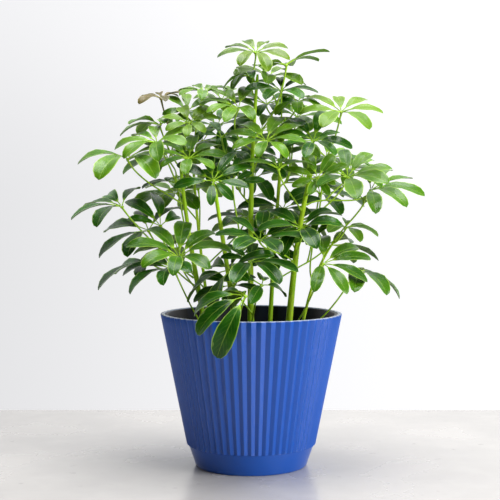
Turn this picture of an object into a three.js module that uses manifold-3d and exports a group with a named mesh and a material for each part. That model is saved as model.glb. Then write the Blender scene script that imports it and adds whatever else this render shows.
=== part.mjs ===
// A potted dwarf umbrella plant: a pleated blue pot with a smooth foot band, a black insert hanging
// inside it, potting mix, seven green stems and their palmate leaves.
// Millimetres, +Z up. The origin is the middle of the pot's flat base. -Y is the front.

import * as THREE from 'three';
import Module from 'manifold-3d';

const wasm = await Module();
wasm.setup();

// Driving dimensions of the pot.
const RIM_RADIUS = 100;
const POT_HEIGHT = 168;
const FOOT_HEIGHT = 24;
const WALL_TAPER = 0.2;
const PLEATS = 60;
const PLEAT_DEPTH = 0.024;
const FOOT_TOP_RADIUS = 69.2;
const FOOT_LOW_RADIUS = 61.5;
const BASE_RADIUS = 60.5;
const BASE_EDGE = 1.5;
const POT_WALL = 5.6;
const POT_FLOOR = 4;
const FLOOR_RADIUS = 57.5;
const LEDGE_DEPTH = 3;
const LEDGE_RADIUS = 95.2;
const ROUND_SIDES = 36;
const FIT = 0.3;

// The insert that hangs by its flange on the ledge inside the rim, and the potting mix in it.
const FLANGE_THICKNESS = 2;
const INSERT_WALL = 1.6;
const INSERT_FLOOR = 2;
const INSERT_SIDE_GAP = 0.6;
const INSERT_BOTTOM = 30;
const SOIL_LEVEL = 140;
const SOIL_BUMP = 1.5;
const SOIL_WAVES = { x: 13, y: 11, shiftX: 0.6, shiftY: 0.4, crossX: 9, crossY: 7, crossShare: 0.6 };
const SOIL_RINGS = [0.99, 0.55];

// How leaves are made. Lengths given as shares are shares of a leaflet's length.
const CLEARANCE = 0.35;
const FOOT_SHARE = 0.05;
const MIDSTALK_SHARE = 0.12;
const STALK_SHARE = 0.19;
const STALK_HALF = 0.7;
const BLADE_HALF = 0.6;
const BLADE_STATIONS = [0.5];
const EDGE_STATION = 0.86;
const FOLD = 14;
const HALF_WIDTHS = { dark: 0.165, fresh: 0.17, young: 0.18 };
const WIDTH_FIT = { share: 0.56, reach: 0.38 };
const OUTLINE_SHAPE = { widest: 1.357, fullness: 0.5 };
const BACK_SHORTER = 0.12;
const VARIES = { bearing: 5, bearingShare: 0.12, length: 0.06, rise: 6, end: 9, twist: 12 };
const HUB_RADIUS = 2.4;
const HUB_SHARE = 0.085;
const HUB_HALF = 0.7;
const HUB_DROP = 2.2;
const CROWN_RAISE = 0.3;
const WIDEST_GAP = 70;
const PETIOLE_RADIUS = 1;
const PETIOLE_SIDES = 3;
const PETIOLE_STEPS = 4;
const PETIOLE_CLIMB = 0.9;
const PETIOLE_BEND = 0.33;
const SUNK_SHARE = 0.48;

// Ways in which a leaf may give way to what already stands: the hub slides to the front or back,
// the petiole starts higher or lower or bows to a side, a leaflet lifts, swings or stays shorter.
const HUB_SLIDES = [0, 5, -5, 10, -10, 15, -15, 20, -20, 26, -26];
const START_STEPS = [0, 0.03, -0.03, 0.06, -0.06, 0.1, -0.1];
const BOWS = [0, 5, -5, 10, -10, 16, -16];
const LIFTS = [0, 6, -6, 12, -12, 18, -18, 25, -25, 33, -33];
const SWINGS = [0, 6, -6];
const SIZES = [1, 0.85, 0.7];

// Stems: the four control points of each centre line, then the radius low down and at the tip.
const STEM_SIDES = 6;
const STEM_STEPS = 8;
const STEMS = [
  ["stem_1", [-46, 5, 114], [-56, 2, 190], [-72, -2, 260], [-77, -5, 330], 3.3, 1.7],
  ["stem_2", [-13, -12, 114], [-20, -15, 190], [-32, -24, 255], [-39, -32, 305], 3.3, 1.9],
  ["stem_3", [0, 14, 114], [-1, 12, 230], [-2, 8, 320], [7, 4, 430], 3.9, 1.6],
  ["stem_4", [38, -5, 114], [45, -6, 200], [50, -10, 270], [70, -12, 340], 4.2, 1.9],
  ["stem_5", [20, 45, 114], [24, 46, 210], [30, 42, 300], [38, 34, 385], 2.8, 1.5],
  ["stem_6", [-40, 35, 114], [-52, 38, 190], [-62, 36, 260], [-66, 30, 350], 1.9, 1.4],
  ["stem_7", [50, -5, 114], [58, -6, 175], [70, -8, 225], [98, -8, 256], 1.8, 1.2],
];

// Leaves, the ones that show most first. Each row is the leaf's name, its stem and how far up the
// stem it grows (0 to 1), the hub's place, the way it leans (degrees, 0 = +X, -90 = front), how far
// it leans, the number of leaflets, the longest leaflet, the bearing of the first one from the lean,
// the angle that they share, how steeply they rise at the hub and droop at the tip, and the leaf's age.
// A leaf that names another leaf as its stem grows from that one's petiole and is one piece with it.
const LEAVES = [
  ["leaf_01", "stem_3", 0.97, [5, 0, 453], -90, 27, 8, 47, -27, 360, 30, 34, "fresh"],
  ["leaf_17", "stem_1", 0.34, [-76, -54, 231], 90, -28, 8, 68, 0, 354, 46, 30, "fresh"],
  ["leaf_24", "stem_2", 0.16, [-6, -104, 195], -58, 33, 5, 76, -206, 196, -6, 90, "dark"],
  ["leaf_13", "stem_1", 0.8, [-134, -13, 337], -96, 17, 5, 68, -80, 307, 36, 44, "fresh"],
  ["leaf_15", "stem_1", 0.45, [-140, -19, 285], -146, 26, 5, 60, 211, 222, 39, 24, "dark"],
  ["leaf_27", "stem_4", 0.14, [76, -53, 225], 100, -30, 6, 64, -199, 225, 19, 30, "fresh"],
  ["leaf_28", "stem_7", 0.19, [112, -19, 214], -16, 15, 5, 63, -75, 212, 22, 51, "fresh"],
  ["leaf_29", "stem_4", 0.75, [132, 6, 303], -95, 26, 6, 67, 4, 222, 30, 27, "fresh"],
  ["leaf_32", "stem_4", 0.93, [98, -8, 388], -92, 29, 7, 54, 33, 352, 26, 23, "young"],
  ["leaf_20", "stem_2", 0.97, [-40, -50, 313], 80, -48, 8, 50, 180, 320, 16, 16, "dark"],
  ["leaf_07", "stem_1", 0.96, [-67, -25, 337], 90, -30, 8, 50, 0, 360, 26, 24, "fresh"],
  ["leaf_19", "stem_1", 0.17, [-81, -56, 218], -146, 24, 5, 63, -87, 215, 44, 33, "dark"],
  ["leaf_23", "stem_4", 0.46, [9, -51, 250], -85, 30, 7, 59, 18, 360, 34, 12, "dark"],
  ["leaf_26", "stem_3", 0.2, [-1, -57, 227], -68, 27, 7, 56, 8, 360, 29, 17, "dark"],
  ["leaf_43", "stem_3", 0.12, [11, -49, 202], 149, -31, 5, 50, -110, 276, 18, 50, "dark"],
  ["leaf_35", "stem_4", 0.5, [54, -39, 261], -112, 36, 6, 56, -118, 311, 44, 28, "dark"],
  ["leaf_31", "stem_4", 0.66, [105, -15, 317], -93, 34, 8, 60, 8, 360, 33, 10, "fresh"],
  ["leaf_39", "stem_4", 0.72, [29, -45, 325], -90, 20, 6, 50, 105, 192, 30, 32, "fresh"],
  ["leaf_37", "stem_3", 0.64, [16, -30, 355], 90, -30, 8, 52, -15, 360, 30, 28, "fresh"],
  ["leaf_38", "stem_4", 0.88, [67, -20, 356], 90, -35, 8, 52, -15, 360, 28, 22, "dark"],
  ["leaf_05", "stem_3", 0.74, [-14, -12, 392], 85, -30, 6, 52, -15, 270, 32, 30, "fresh"],
  ["leaf_08", "stem_6", 0.97, [-67, -10, 376], 80, -38, 7, 38, 27, 360, 25, 25, "young"],
  ["leaf_12", "stem_1", 0.86, [-102, -8, 354], -110, 28, 7, 54, 200, 320, 32, 28, "fresh"],
  ["leaf_09", "stem_6", 0.9, [-71, 20, 391], 90, -40, 7, 36, 5, 360, 22, 18, "fresh"],
  ["leaf_40", "stem_6", 0.97, [-52, 10, 411], -90, 18, 7, 36, 0, 360, 30, 30, "fresh"],
  ["leaf_04", "stem_5", 0.93, [33, 5, 412], -90, 25, 7, 46, 80, 360, 30, 25, "dark"],
  ["leaf_02", "stem_3", 0.82, [38, -5, 439], 0, -8, 6, 50, -5, 262, 26, 16, "fresh"],
  ["leaf_03", "stem_3", 0.9, [1, 0, 428], 180, 15, 6, 42, -90, 216, 30, 50, "dark"],
  ["leaf_18", "stem_1", 0.38, [-112, -16, 259], -118, 31, 5, 71, -194, 256, 29, 31, "dark"],
  ["leaf_16", "stem_1", 0.42, [-99, -11, 264], 118, -55, 4, 60, -57, 159, 5, 45, "dark"],
  ["leaf_14", "stem_1", 0.56, [-82, 15, 311], 180, 5, 6, 44, 20, 360, 25, 28, "dark"],
  ["leaf_11", "stem_6", 0.86, [-102, 25, 376], 180, 6, 7, 50, 0, 360, 30, 35, "fresh"],
  ["leaf_10", "stem_6", 0.93, [-101, 35, 406], -90, 15, 6, 34, 15, 360, 35, 35, "young"],
  ["leaf_06", "stem_3", 0.55, [-33, 15, 362], 90, -35, 5, 34, -50, 360, 25, 15, "dark"],
  ["leaf_21", "stem_2", 0.38, [-20, -20, 310], 90, -48, 5, 42, -85, 190, 15, 12, "dark"],
  ["leaf_22", "stem_6", 0.45, [-6, 35, 272], -90, 12, 6, 54, -30, 360, 25, 30, "dark"],
  ["leaf_25", "stem_2", 0.3, [-22, -70, 219], -147, 41, 6, 62, 23, 360, 20, 38, "dark"],
  ["leaf_30", "stem_7", 0.97, [122, -20, 289], 40, 30, 5, 13, 0, 360, 55, -60, "young"],
  ["leaf_33", "stem_4", 0.44, [53, 0, 268], -110, 10, 7, 60, 22, 300, 28, 20, "dark"],
  ["leaf_34", "stem_4", 0.8, [71, -35, 316], 90, -50, 8, 38, 20, 360, 15, 12, "fresh"],
  ["leaf_36", "stem_7", 0.55, [67, -20, 249], -90, 35, 5, 38, 130, 200, 20, 5, "fresh"],
  ["leaf_41", "stem_7", 0.9, [103, -15, 262], -70, 18, 7, 40, 50, 360, 24, 30, "young"],
  ["leaf_42", "stem_5", 0.97, [51, 10, 400], -100, 25, 7, 42, 10, 360, 25, 40, "fresh"],
  ["leaf_44", "stem_5", 0.35, [23, 10, 237], 90, -45, 7, 42, -10, 360, 15, 12, "dark"],
  ["leaf_45", "stem_6", 0.6, [-62, 82, 305], 120, 30, 6, 58, 0, 360, 32, 30, "fresh"],
  ["leaf_46", "stem_5", 0.4, [8, 95, 262], 95, 35, 6, 64, 15, 360, 32, 30, "dark"],
  ["leaf_47", "stem_5", 0.7, [62, 80, 318], 55, 30, 6, 58, 30, 360, 32, 30, "fresh"],
  ["leaf_48", "stem_5", 0.85, [12, 70, 372], 105, 28, 6, 52, 0, 360, 32, 30, "fresh"],
  ["leaf_49", "stem_6", 0.35, [-85, 62, 236], 140, 30, 6, 62, 10, 360, 32, 30, "dark"],
  ["leaf_50", "stem_5", 0.3, [88, 58, 240], 35, 30, 6, 62, 20, 360, 32, 30, "dark"],
  ["leaf_51", "leaf_40", 0.5, [-33, 30, 404], -90, 25, 7, 48, 0, 360, 28, 28, "fresh"],
  ["leaf_52", "leaf_06", 0.5, [-37, 30, 376], -100, 28, 7, 55, 20, 360, 28, 28, "fresh"],
  ["leaf_53", "leaf_06", 0.1, [-9, 25, 330], -80, 30, 7, 56, 10, 360, 28, 26, "fresh"],
  ["leaf_54", "leaf_04", 0.15, [17, 35, 400], -80, 25, 7, 53, 20, 360, 28, 28, "dark"],
  ["leaf_55", "leaf_47", 0.2, [43, 25, 355], -100, 30, 7, 56, 0, 360, 28, 28, "dark"],
  ["leaf_56", "leaf_12", 0.2, [-92, 30, 338], -120, 22, 7, 59, 20, 360, 28, 28, "fresh"],
  ["leaf_57", "leaf_11", 0.1, [-54, 35, 359], -90, 28, 7, 54, 0, 360, 28, 28, "fresh"],
  ["leaf_58", "leaf_31", 0.3, [84, 25, 340], -60, 28, 7, 58, 0, 360, 28, 28, "fresh"],
  ["leaf_59", "leaf_06", 0.2, [-20, 50, 348], -90, 30, 7, 54, 20, 360, 28, 28, "dark"],
  ["leaf_60", "leaf_33", 0.4, [36, 36, 282], -90, 30, 7, 58, 12, 360, 28, 28, "dark"],
  ["leaf_61", "leaf_02", 0.5, [19, 30, 430], -60, 20, 7, 52, 20, 360, 28, 28, "fresh"],
  ["leaf_62", "leaf_18", 0.3, [-113, 25, 223], 200, 30, 6, 66, 0, 360, 28, 30, "dark"],
  ["leaf_63", "leaf_47", 0.3, [52, 40, 386], -80, 25, 7, 56, 10, 360, 28, 28, "fresh"],
  ["leaf_64", "leaf_46", 0.4, [4, 50, 316], -90, 30, 7, 58, 20, 360, 28, 28, "dark"],
  ["leaf_65", "leaf_45", 0.3, [-84, 50, 300], -110, 30, 7, 58, 0, 360, 28, 28, "fresh"],
  ["leaf_66", "leaf_50", 0.6, [78, 45, 300], -70, 30, 6, 58, 0, 360, 28, 28, "fresh"],
  ["leaf_67", "leaf_44", 0.3, [16, 30, 252], -90, 30, 7, 60, 20, 360, 28, 28, "dark"],
  ["leaf_68", "leaf_29", 0.3, [112, 30, 326], -70, 28, 7, 52, 15, 360, 28, 28, "fresh"],
  ["leaf_69", "leaf_43", 0.25, [-20, -14, 200], -110, 34, 6, 56, 10, 360, 24, 30, "dark"],
];

const UPWARD = new THREE.Vector3(0, 0, 1);
const BACKWARD = new THREE.Vector3(0, 1, 0);
const radians = (degrees) => degrees * Math.PI / 180;
const at = (list) => new THREE.Vector3(list[0], list[1], list[2]);

// A vector with shares of other vectors added to it.
function mixed(start, ...terms) {
  return terms.reduce((sum, [way, share]) => sum.addScaledVector(way, share), start.clone());
}

// A draw between -1 and 1 that is always the same for the same leaf, leaflet and trait.
function vary(leaf, leaflet, trait) {
  const value = Math.sin(leaf * 12.9898 + leaflet * 78.233 + trait * 37.719) * 43758.5453;
  return 2 * (value - Math.floor(value)) - 1;
}

// A shape is a list of points and a list of faces that name three of them, outside to the left.
function newShape() {
  return { points: [], faces: [] };
}

function addPoint(shape, point) {
  shape.points.push(point);
  return shape.points.length - 1;
}

function addRing(shape, ring) {
  return ring.map((point) => addPoint(shape, point));
}

// Joins two rings of equal count that run counterclockwise seen against the way of travel.
function joinRings(shape, low, high) {
  for (let k = 0; k < low.length; k += 1) {
    const next = (k + 1) % low.length;
    shape.faces.push([low[k], low[next], high[next]], [low[k], high[next], high[k]]);
  }
}

function closeRing(shape, ring, middle, faceUp) {
  const centre = addPoint(shape, middle);
  for (let k = 0; k < ring.length; k += 1) {
    const next = (k + 1) % ring.length;
    shape.faces.push(faceUp ? [centre, ring[k], ring[next]] : [centre, ring[next], ring[k]]);
  }
}

function middleOf(ring) {
  return ring.reduce((sum, point) => sum.add(point), new THREE.Vector3()).divideScalar(ring.length);
}

// A closed solid from rings that follow each other along its outline.
function stackRings(rings) {
  const shape = newShape();
  const placed = rings.map((ring) => addRing(shape, ring));
  for (let k = 1; k < placed.length; k += 1) {
    joinRings(shape, placed[k - 1], placed[k]);
  }
  closeRing(shape, placed[0], middleOf(rings[0]), false);
  closeRing(shape, placed[placed.length - 1], middleOf(rings[rings.length - 1]), true);
  return shape;
}

function roundRing(radius, z, sides = ROUND_SIDES, ripple = 0) {
  return Array.from({ length: sides }, (_, k) => {
    const angle = 2 * Math.PI * k / sides;
    const reach = k % 2 ? radius * (1 - ripple) : radius;
    const height = typeof z === 'function' ? z(reach * Math.cos(angle), reach * Math.sin(angle)) : z;
    return new THREE.Vector3(reach * Math.cos(angle), reach * Math.sin(angle), height);
  });
}

function toSolid(shape) {
  const vertProperties = new Float32Array(shape.points.flatMap((point) => point.toArray()));
  const triVerts = new Uint32Array(shape.faces.flat());
  return new wasm.Manifold(new wasm.Mesh({ numProp: 3, vertProperties, triVerts }));
}

function fromSolid(solid) {
  const mesh = solid.getMesh();
  const shape = newShape();
  for (let k = 0; k < mesh.numVert; k += 1) {
    shape.points.push(new THREE.Vector3().fromArray(mesh.vertProperties, k * mesh.numProp));
  }
  for (let k = 0; k < mesh.numTri; k += 1) {
    shape.faces.push(Array.from(mesh.triVerts.slice(3 * k, 3 * k + 3)));
  }
  return shape;
}

// The pot: a smooth foot band under a pleated wall, hollow, with a ledge just inside the rim.
const ridgeRadius = (z) => RIM_RADIUS - (POT_HEIGHT - z) * WALL_TAPER;

function outerPot() {
  const foot = toSolid(stackRings([
    roundRing(BASE_RADIUS, 0, PLEATS),
    roundRing(FOOT_LOW_RADIUS, BASE_EDGE, PLEATS),
    roundRing(FOOT_TOP_RADIUS, FOOT_HEIGHT, PLEATS),
  ]));
  const wall = toSolid(stackRings([
    roundRing(ridgeRadius(FOOT_HEIGHT), FOOT_HEIGHT, 2 * PLEATS, PLEAT_DEPTH),
    roundRing(RIM_RADIUS, POT_HEIGHT, 2 * PLEATS, PLEAT_DEPTH),
  ]));
  const ledge = POT_HEIGHT - LEDGE_DEPTH;
  const cavity = toSolid(stackRings([
    roundRing(FLOOR_RADIUS, POT_FLOOR),
    roundRing(ridgeRadius(FOOT_HEIGHT) - POT_WALL, FOOT_HEIGHT),
    roundRing(ridgeRadius(ledge) - POT_WALL, ledge),
    roundRing(LEDGE_RADIUS, ledge),
    roundRing(LEDGE_RADIUS, POT_HEIGHT + BASE_EDGE),
  ]));
  return fromSolid(foot.add(wall).subtract(cavity));
}

// The insert: a plain tapered cup whose flange rests on the pot's ledge.
const insertRadius = (z) => ridgeRadius(z) - POT_WALL - INSERT_SIDE_GAP;

function innerPot() {
  const flange = POT_HEIGHT - LEDGE_DEPTH + FIT;
  const top = flange + FLANGE_THICKNESS;
  const floor = INSERT_BOTTOM + INSERT_FLOOR;
  const body = toSolid(stackRings([
    roundRing(insertRadius(INSERT_BOTTOM), INSERT_BOTTOM),
    roundRing(insertRadius(flange), flange),
    roundRing(LEDGE_RADIUS - FIT, flange),
    roundRing(LEDGE_RADIUS - FIT, top),
  ]));
  const cavity = toSolid(stackRings([
    roundRing(insertRadius(floor) - INSERT_WALL, floor),
    roundRing(insertRadius(POT_HEIGHT) - INSERT_WALL, POT_HEIGHT),
  ]));
  return fromSolid(body.subtract(cavity));
}

function soilHeight(x, y) {
  const wave = SOIL_WAVES;
  const mounds = Math.sin(x / wave.x + wave.shiftX) * Math.cos(y / wave.y - wave.shiftY);
  return SOIL_LEVEL + SOIL_BUMP * (mounds + wave.crossShare * Math.sin(x / wave.crossX - y / wave.crossY));
}

// A point on a curve with four control points, and the way it runs there.
function alongCurve(curve, t) {
  const rest = 1 - t;
  const shares = [rest ** 3, 3 * rest * rest * t, 3 * rest * t * t, t ** 3];
  const ways = [-3 * rest * rest, 3 * rest * rest - 6 * rest * t, 6 * rest * t - 3 * t * t, 3 * t * t];
  const point = mixed(new THREE.Vector3(), ...curve.map((control, k) => [control, shares[k]]));
  const way = mixed(new THREE.Vector3(), ...curve.map((control, k) => [control, ways[k]])).normalize();
  return { point, way };
}

// A tube of a few sides through points. Its rings keep their turn from the last one back to the first.
function tube(points, ways, radii, sides, firstSide) {
  const shape = newShape();
  let side = firstSide.clone();
  const rings = [];
  for (let k = points.length - 1; k >= 0; k -= 1) {
    side = mixed(side, [ways[k], -side.dot(ways[k])]).normalize();
    const other = ways[k].clone().cross(side);
    rings.unshift(Array.from({ length: sides }, (_, j) => {
      const angle = 2 * Math.PI * j / sides;
      return mixed(points[k], [side, radii[k] * Math.cos(angle)], [other, radii[k] * Math.sin(angle)]);
    }));
  }
  const placed = rings.map((ring) => addRing(shape, ring));
  for (let k = 1; k < placed.length; k += 1) {
    joinRings(shape, placed[k - 1], placed[k]);
  }
  return { shape, first: placed[0], last: placed[placed.length - 1] };
}

function closedTube(points, ways, radii, sides, firstSide) {
  const { shape, first, last } = tube(points, ways, radii, sides, firstSide);
  closeRing(shape, first, points[0], false);
  closeRing(shape, last, points[points.length - 1], true);
  return shape;
}

const stems = STEMS.map(([name, ...row]) => ({
  name,
  curve: row.slice(0, 4).map(at),
  radiusAt: (t) => row[4] + (row[5] - row[4]) * t,
}));

// A stem, or with a clearance the hole that it stands in.
function stemShape(stem, clearance = 0) {
  const places = Array.from({ length: STEM_STEPS + 1 }, (_, k) => k / STEM_STEPS);
  const centres = places.map((t) => alongCurve(stem.curve, t));
  const points = centres.map(({ point }) => point);
  points[0].z -= clearance;
  return closedTube(
    points,
    centres.map(({ way }, k) => (k ? way : UPWARD.clone())),
    places.map((t) => stem.radiusAt(t) + clearance),
    STEM_SIDES,
    new THREE.Vector3(1, 0, 0),
  );
}

function soil() {
  const bottom = INSERT_BOTTOM + INSERT_FLOOR + FIT;
  const radiusAt = (z) => insertRadius(z) - INSERT_WALL - FIT;
  const edge = SOIL_LEVEL - 2 * SOIL_BUMP;
  const body = toSolid(stackRings([
    roundRing(radiusAt(bottom), bottom),
    roundRing(radiusAt(edge), edge),
    ...SOIL_RINGS.map((share) => roundRing(radiusAt(edge) * share, soilHeight)),
  ]));
  return fromSolid(stems.reduce((left, stem) => left.subtract(toSolid(stemShape(stem, CLEARANCE))), body));
}

// A leaf's own directions: its axis, the way it leans and the way across.
function leafFrame(leaf) {
  const azimuth = radians(leaf.azimuth);
  const tilt = radians(leaf.tilt);
  const axis = new THREE.Vector3(
    Math.sin(tilt) * Math.cos(azimuth),
    Math.sin(tilt) * Math.sin(azimuth),
    Math.cos(tilt),
  );
  const lean = new THREE.Vector3(
    Math.cos(tilt) * Math.cos(azimuth),
    Math.cos(tilt) * Math.sin(azimuth),
    -Math.sin(tilt),
  );
  return { axis, lean, across: axis.clone().cross(lean) };
}

// The outline of a blade: 0 at its foot and tip, 1 where it is widest, nearer to the tip.
const outline = (u) => Math.sin(Math.PI * u ** OUTLINE_SHAPE.widest) ** OUTLINE_SHAPE.fullness;

// One leaflet: an arc that rises from the hub and droops, with the change that keeps it clear.
function leafletAt(leaf, index, change) {
  const draw = (trait) => vary(leaf.number, index, trait);
  const step = leaf.sweep / leaf.count;
  const swing = Math.min(VARIES.bearing, VARIES.bearingShare * step) * draw(1) + change.swing;
  const bearing = radians(leaf.turn + step * index + swing);
  const reach = 1 - BACK_SHORTER + BACK_SHORTER * Math.cos(bearing);
  const length = leaf.longest * reach * (1 + VARIES.length * draw(2)) * change.size;
  const rise = radians(leaf.rise + VARIES.rise * draw(3) + change.lift);
  const end = radians(VARIES.end * draw(4) - leaf.droop + change.lift);
  const twist = radians(VARIES.twist * draw(5));
  const { axis, lean, across } = leaf.frame;
  const out = mixed(new THREE.Vector3(), [lean, Math.cos(bearing)], [across, Math.sin(bearing)]);
  const side = axis.clone().cross(out);
  const room = WIDTH_FIT.share * Math.sin(WIDTH_FIT.reach * radians(step));
  const halfWidth = length * Math.min(HALF_WIDTHS[leaf.age], room);
  const sectionAt = (share) => {
    const slope = rise + (end - rise) * share;
    const radius = length / (end - rise);
    const middle = mixed(
      leaf.hub,
      [out, radius * (Math.sin(slope) - Math.sin(rise))],
      [axis, radius * (Math.cos(rise) - Math.cos(slope))],
    );
    const up = mixed(new THREE.Vector3(), [out, -Math.sin(slope)], [axis, Math.cos(slope)]);
    return {
      middle,
      way: mixed(new THREE.Vector3(), [out, Math.cos(slope)], [axis, Math.sin(slope)]),
      up: mixed(new THREE.Vector3(), [up, Math.cos(twist)], [side, -Math.sin(twist)]),
      side: mixed(new THREE.Vector3(), [side, Math.cos(twist)], [up, Math.sin(twist)]),
    };
  };
  const bladeSection = (u) => (
    { ...sectionAt(STALK_SHARE + (1 - STALK_SHARE) * u), half: halfWidth * outline(u), fold: FOLD }
  );
  return {
    foot: { ...sectionAt(FOOT_SHARE), half: STALK_HALF, fold: 0 },
    midstalk: { ...sectionAt(MIDSTALK_SHARE), half: STALK_HALF, fold: 0 },
    stalkEnd: { ...sectionAt(STALK_SHARE), half: STALK_HALF, fold: 0 },
    stations: BLADE_STATIONS.map(bladeSection),
    edge: bladeSection(EDGE_STATION),
    tip: sectionAt(1),
  };
}

// A point on the margin of a section, on the side of the sign, moved out and up by the clearance.
function marginPoint(section, sign, widen = 0, raise = 0) {
  const half = section.half + widen;
  return mixed(
    section.middle,
    [section.side, sign * half * Math.cos(radians(section.fold))],
    [section.up, half * Math.sin(radians(section.fold)) + raise],
  );
}

// Joins two four-cornered sections (margin, top, margin, underside); both faces of the blade are
// split along the same lines, so they stay apart where it twists.
function joinSections(shape, low, high) {
  for (let k = 0; k < 4; k += 1) {
    const next = (k + 1) % 4;
    if (k % 2) {
      shape.faces.push([low[k], high[k], low[next]], [low[next], high[k], high[next]]);
    } else {
      shape.faces.push([low[k], high[k], high[next]], [low[k], high[next], low[next]]);
    }
  }
}

function addLeaflet(shape, root, leaflet) {
  let low = root;
  for (const section of [leaflet.stalkEnd, ...leaflet.stations]) {
    const high = addRing(shape, [
      marginPoint(section, -1),
      mixed(section.middle, [section.up, BLADE_HALF]),
      marginPoint(section, 1),
      mixed(section.middle, [section.up, -BLADE_HALF]),
    ]);
    joinSections(shape, low, high);
    low = high;
  }
  const [left, top, right, under] = low;
  const leftEdge = addPoint(shape, marginPoint(leaflet.edge, -1));
  const rightEdge = addPoint(shape, marginPoint(leaflet.edge, 1));
  const tip = addPoint(shape, leaflet.tip.middle);
  shape.faces.push(
    [left, leftEdge, top], [leftEdge, tip, top], [top, tip, rightEdge], [top, rightEdge, right],
    [right, rightEdge, under], [rightEdge, tip, under], [under, tip, leftEdge], [under, leftEdge, left],
  );
}

// The space that a leaflet needs: its two faces and its margin, moved out by the clearance.
function leafletSpace(leaflet, sections) {
  const shape = newShape();
  const lines = sections.map((section) => addRing(shape, [
    marginPoint(section, -1, CLEARANCE, -CLEARANCE),
    marginPoint(section, -1, CLEARANCE, CLEARANCE),
    mixed(section.middle, [section.up, BLADE_HALF + CLEARANCE]),
    marginPoint(section, 1, CLEARANCE, CLEARANCE),
    marginPoint(section, 1, CLEARANCE, -CLEARANCE),
    mixed(section.middle, [section.up, -BLADE_HALF - CLEARANCE]),
  ]));
  const end = mixed(leaflet.tip.middle, [leaflet.tip.way, CLEARANCE]);
  const { edge, tip } = leaflet;
  lines.push(addRing(shape, [
    marginPoint(edge, -1, CLEARANCE, -CLEARANCE),
    marginPoint(edge, -1, CLEARANCE, CLEARANCE),
    mixed(end, [tip.up, CLEARANCE]),
    marginPoint(edge, 1, CLEARANCE, CLEARANCE),
    marginPoint(edge, 1, CLEARANCE, -CLEARANCE),
    mixed(end, [tip.up, -CLEARANCE]),
  ]));
  for (let k = 1; k < lines.length; k += 1) {
    joinRings(shape, lines[k - 1], lines[k]);
  }
  return shape;
}

// The space of the blade alone, of the leaflet from half way along its stalk, and of the whole leaflet.
function leafletSpaces(leaflet) {
  const { foot, midstalk, stalkEnd, stations } = leaflet;
  return {
    blade: piece(leafletSpace(leaflet, [stalkEnd, ...stations])),
    free: piece(leafletSpace(leaflet, [midstalk, stalkEnd, ...stations])),
    whole: piece(leafletSpace(leaflet, [foot, stalkEnd, ...stations])),
  };
}

// The petiole: from just off the stem in a curve to the underside of the hub.
function petioleLine(leaf, change) {
  const start = Math.min(1, leaf.along + change.start);
  const bearer = leaf.host ? leaf.host.petiole.curve : leaf.stem.curve;
  const { point: foot, way: upward } = alongCurve(bearer, start);
  const towards = leaf.hub.clone().sub(foot);
  const out = mixed(towards, [upward, -towards.dot(upward)]).normalize();
  const sideways = out.clone().cross(upward);
  const first = leaf.host ? foot : mixed(foot, [out, leaf.stem.radiusAt(start) + CLEARANCE]);
  const last = mixed(leaf.hub, [leaf.frame.axis, -HUB_DROP]);
  const reach = first.distanceTo(last);
  const bend = PETIOLE_BEND * reach;
  const leaving = mixed(out, [upward, PETIOLE_CLIMB]).normalize();
  const arriving = mixed(leaf.frame.axis, [last.clone().sub(first).normalize(), 1]).normalize();
  const curve = [
    first,
    mixed(first, [leaving, bend], [sideways, change.bow]),
    mixed(last, [arriving, -bend], [sideways, change.bow]),
    last,
  ];
  const shares = Array.from({ length: PETIOLE_STEPS + 1 }, (_, k) => k / PETIOLE_STEPS);
  const places = shares.map((share) => alongCurve(curve, share));
  const ways = places.map(({ way }) => way);
  ways[0] = out;
  ways[PETIOLE_STEPS] = leaf.frame.axis.clone();
  return { curve, points: places.map(({ point }) => point), ways };
}

// A companion's starts thin enough to be all inside its host's.
function petioleTube(leaf, line, radius) {
  const radii = line.points.map((_, k) => (leaf.host && k === 0 ? SUNK_SHARE * radius : radius));
  const { shape, first, last } = tube(line.points, line.ways, radii, PETIOLE_SIDES, leaf.frame.lean);
  shape.faces.push([first[0], first[2], first[1]]);
  return { shape, last };
}

// The rim of the hub: a corner between each two leaflets and the upper and under point of each root.
function hubRim(leaf) {
  const step = leaf.sweep / leaf.count;
  const radius = Math.min(HUB_RADIUS, HUB_SHARE * leaf.longest);
  const rise = radians(leaf.rise);
  const { axis, lean, across } = leaf.frame;
  const rimPoint = (bearing, raise) => {
    const angle = radians(bearing);
    const out = mixed(new THREE.Vector3(), [lean, Math.cos(angle)], [across, Math.sin(angle)]);
    const up = mixed(new THREE.Vector3(), [out, -Math.sin(rise)], [axis, Math.cos(rise)]);
    return mixed(leaf.hub, [out, radius * Math.cos(rise)], [axis, radius * Math.sin(rise)], [up, raise]);
  };
  const corner = (bearing) => ({ bearing, top: rimPoint(bearing, 0), under: null });
  const root = (bearing) => (
    { bearing, top: rimPoint(bearing, HUB_HALF), under: rimPoint(bearing, -HUB_HALF) }
  );
  const rim = [];
  for (let k = 0; k < leaf.count; k += 1) {
    rim.push(corner(leaf.turn + step * (k - 0.5)), root(leaf.turn + step * k));
  }
  const gap = 360 - leaf.sweep;
  const extra = Math.ceil(gap / WIDEST_GAP);
  for (let k = 0; k < extra; k += 1) {
    rim.push(corner(leaf.turn + leaf.sweep - 0.5 * step + gap * k / extra));
  }
  return { rim, crown: mixed(leaf.hub, [axis, radius * Math.sin(rise) + CROWN_RAISE]) };
}

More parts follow.
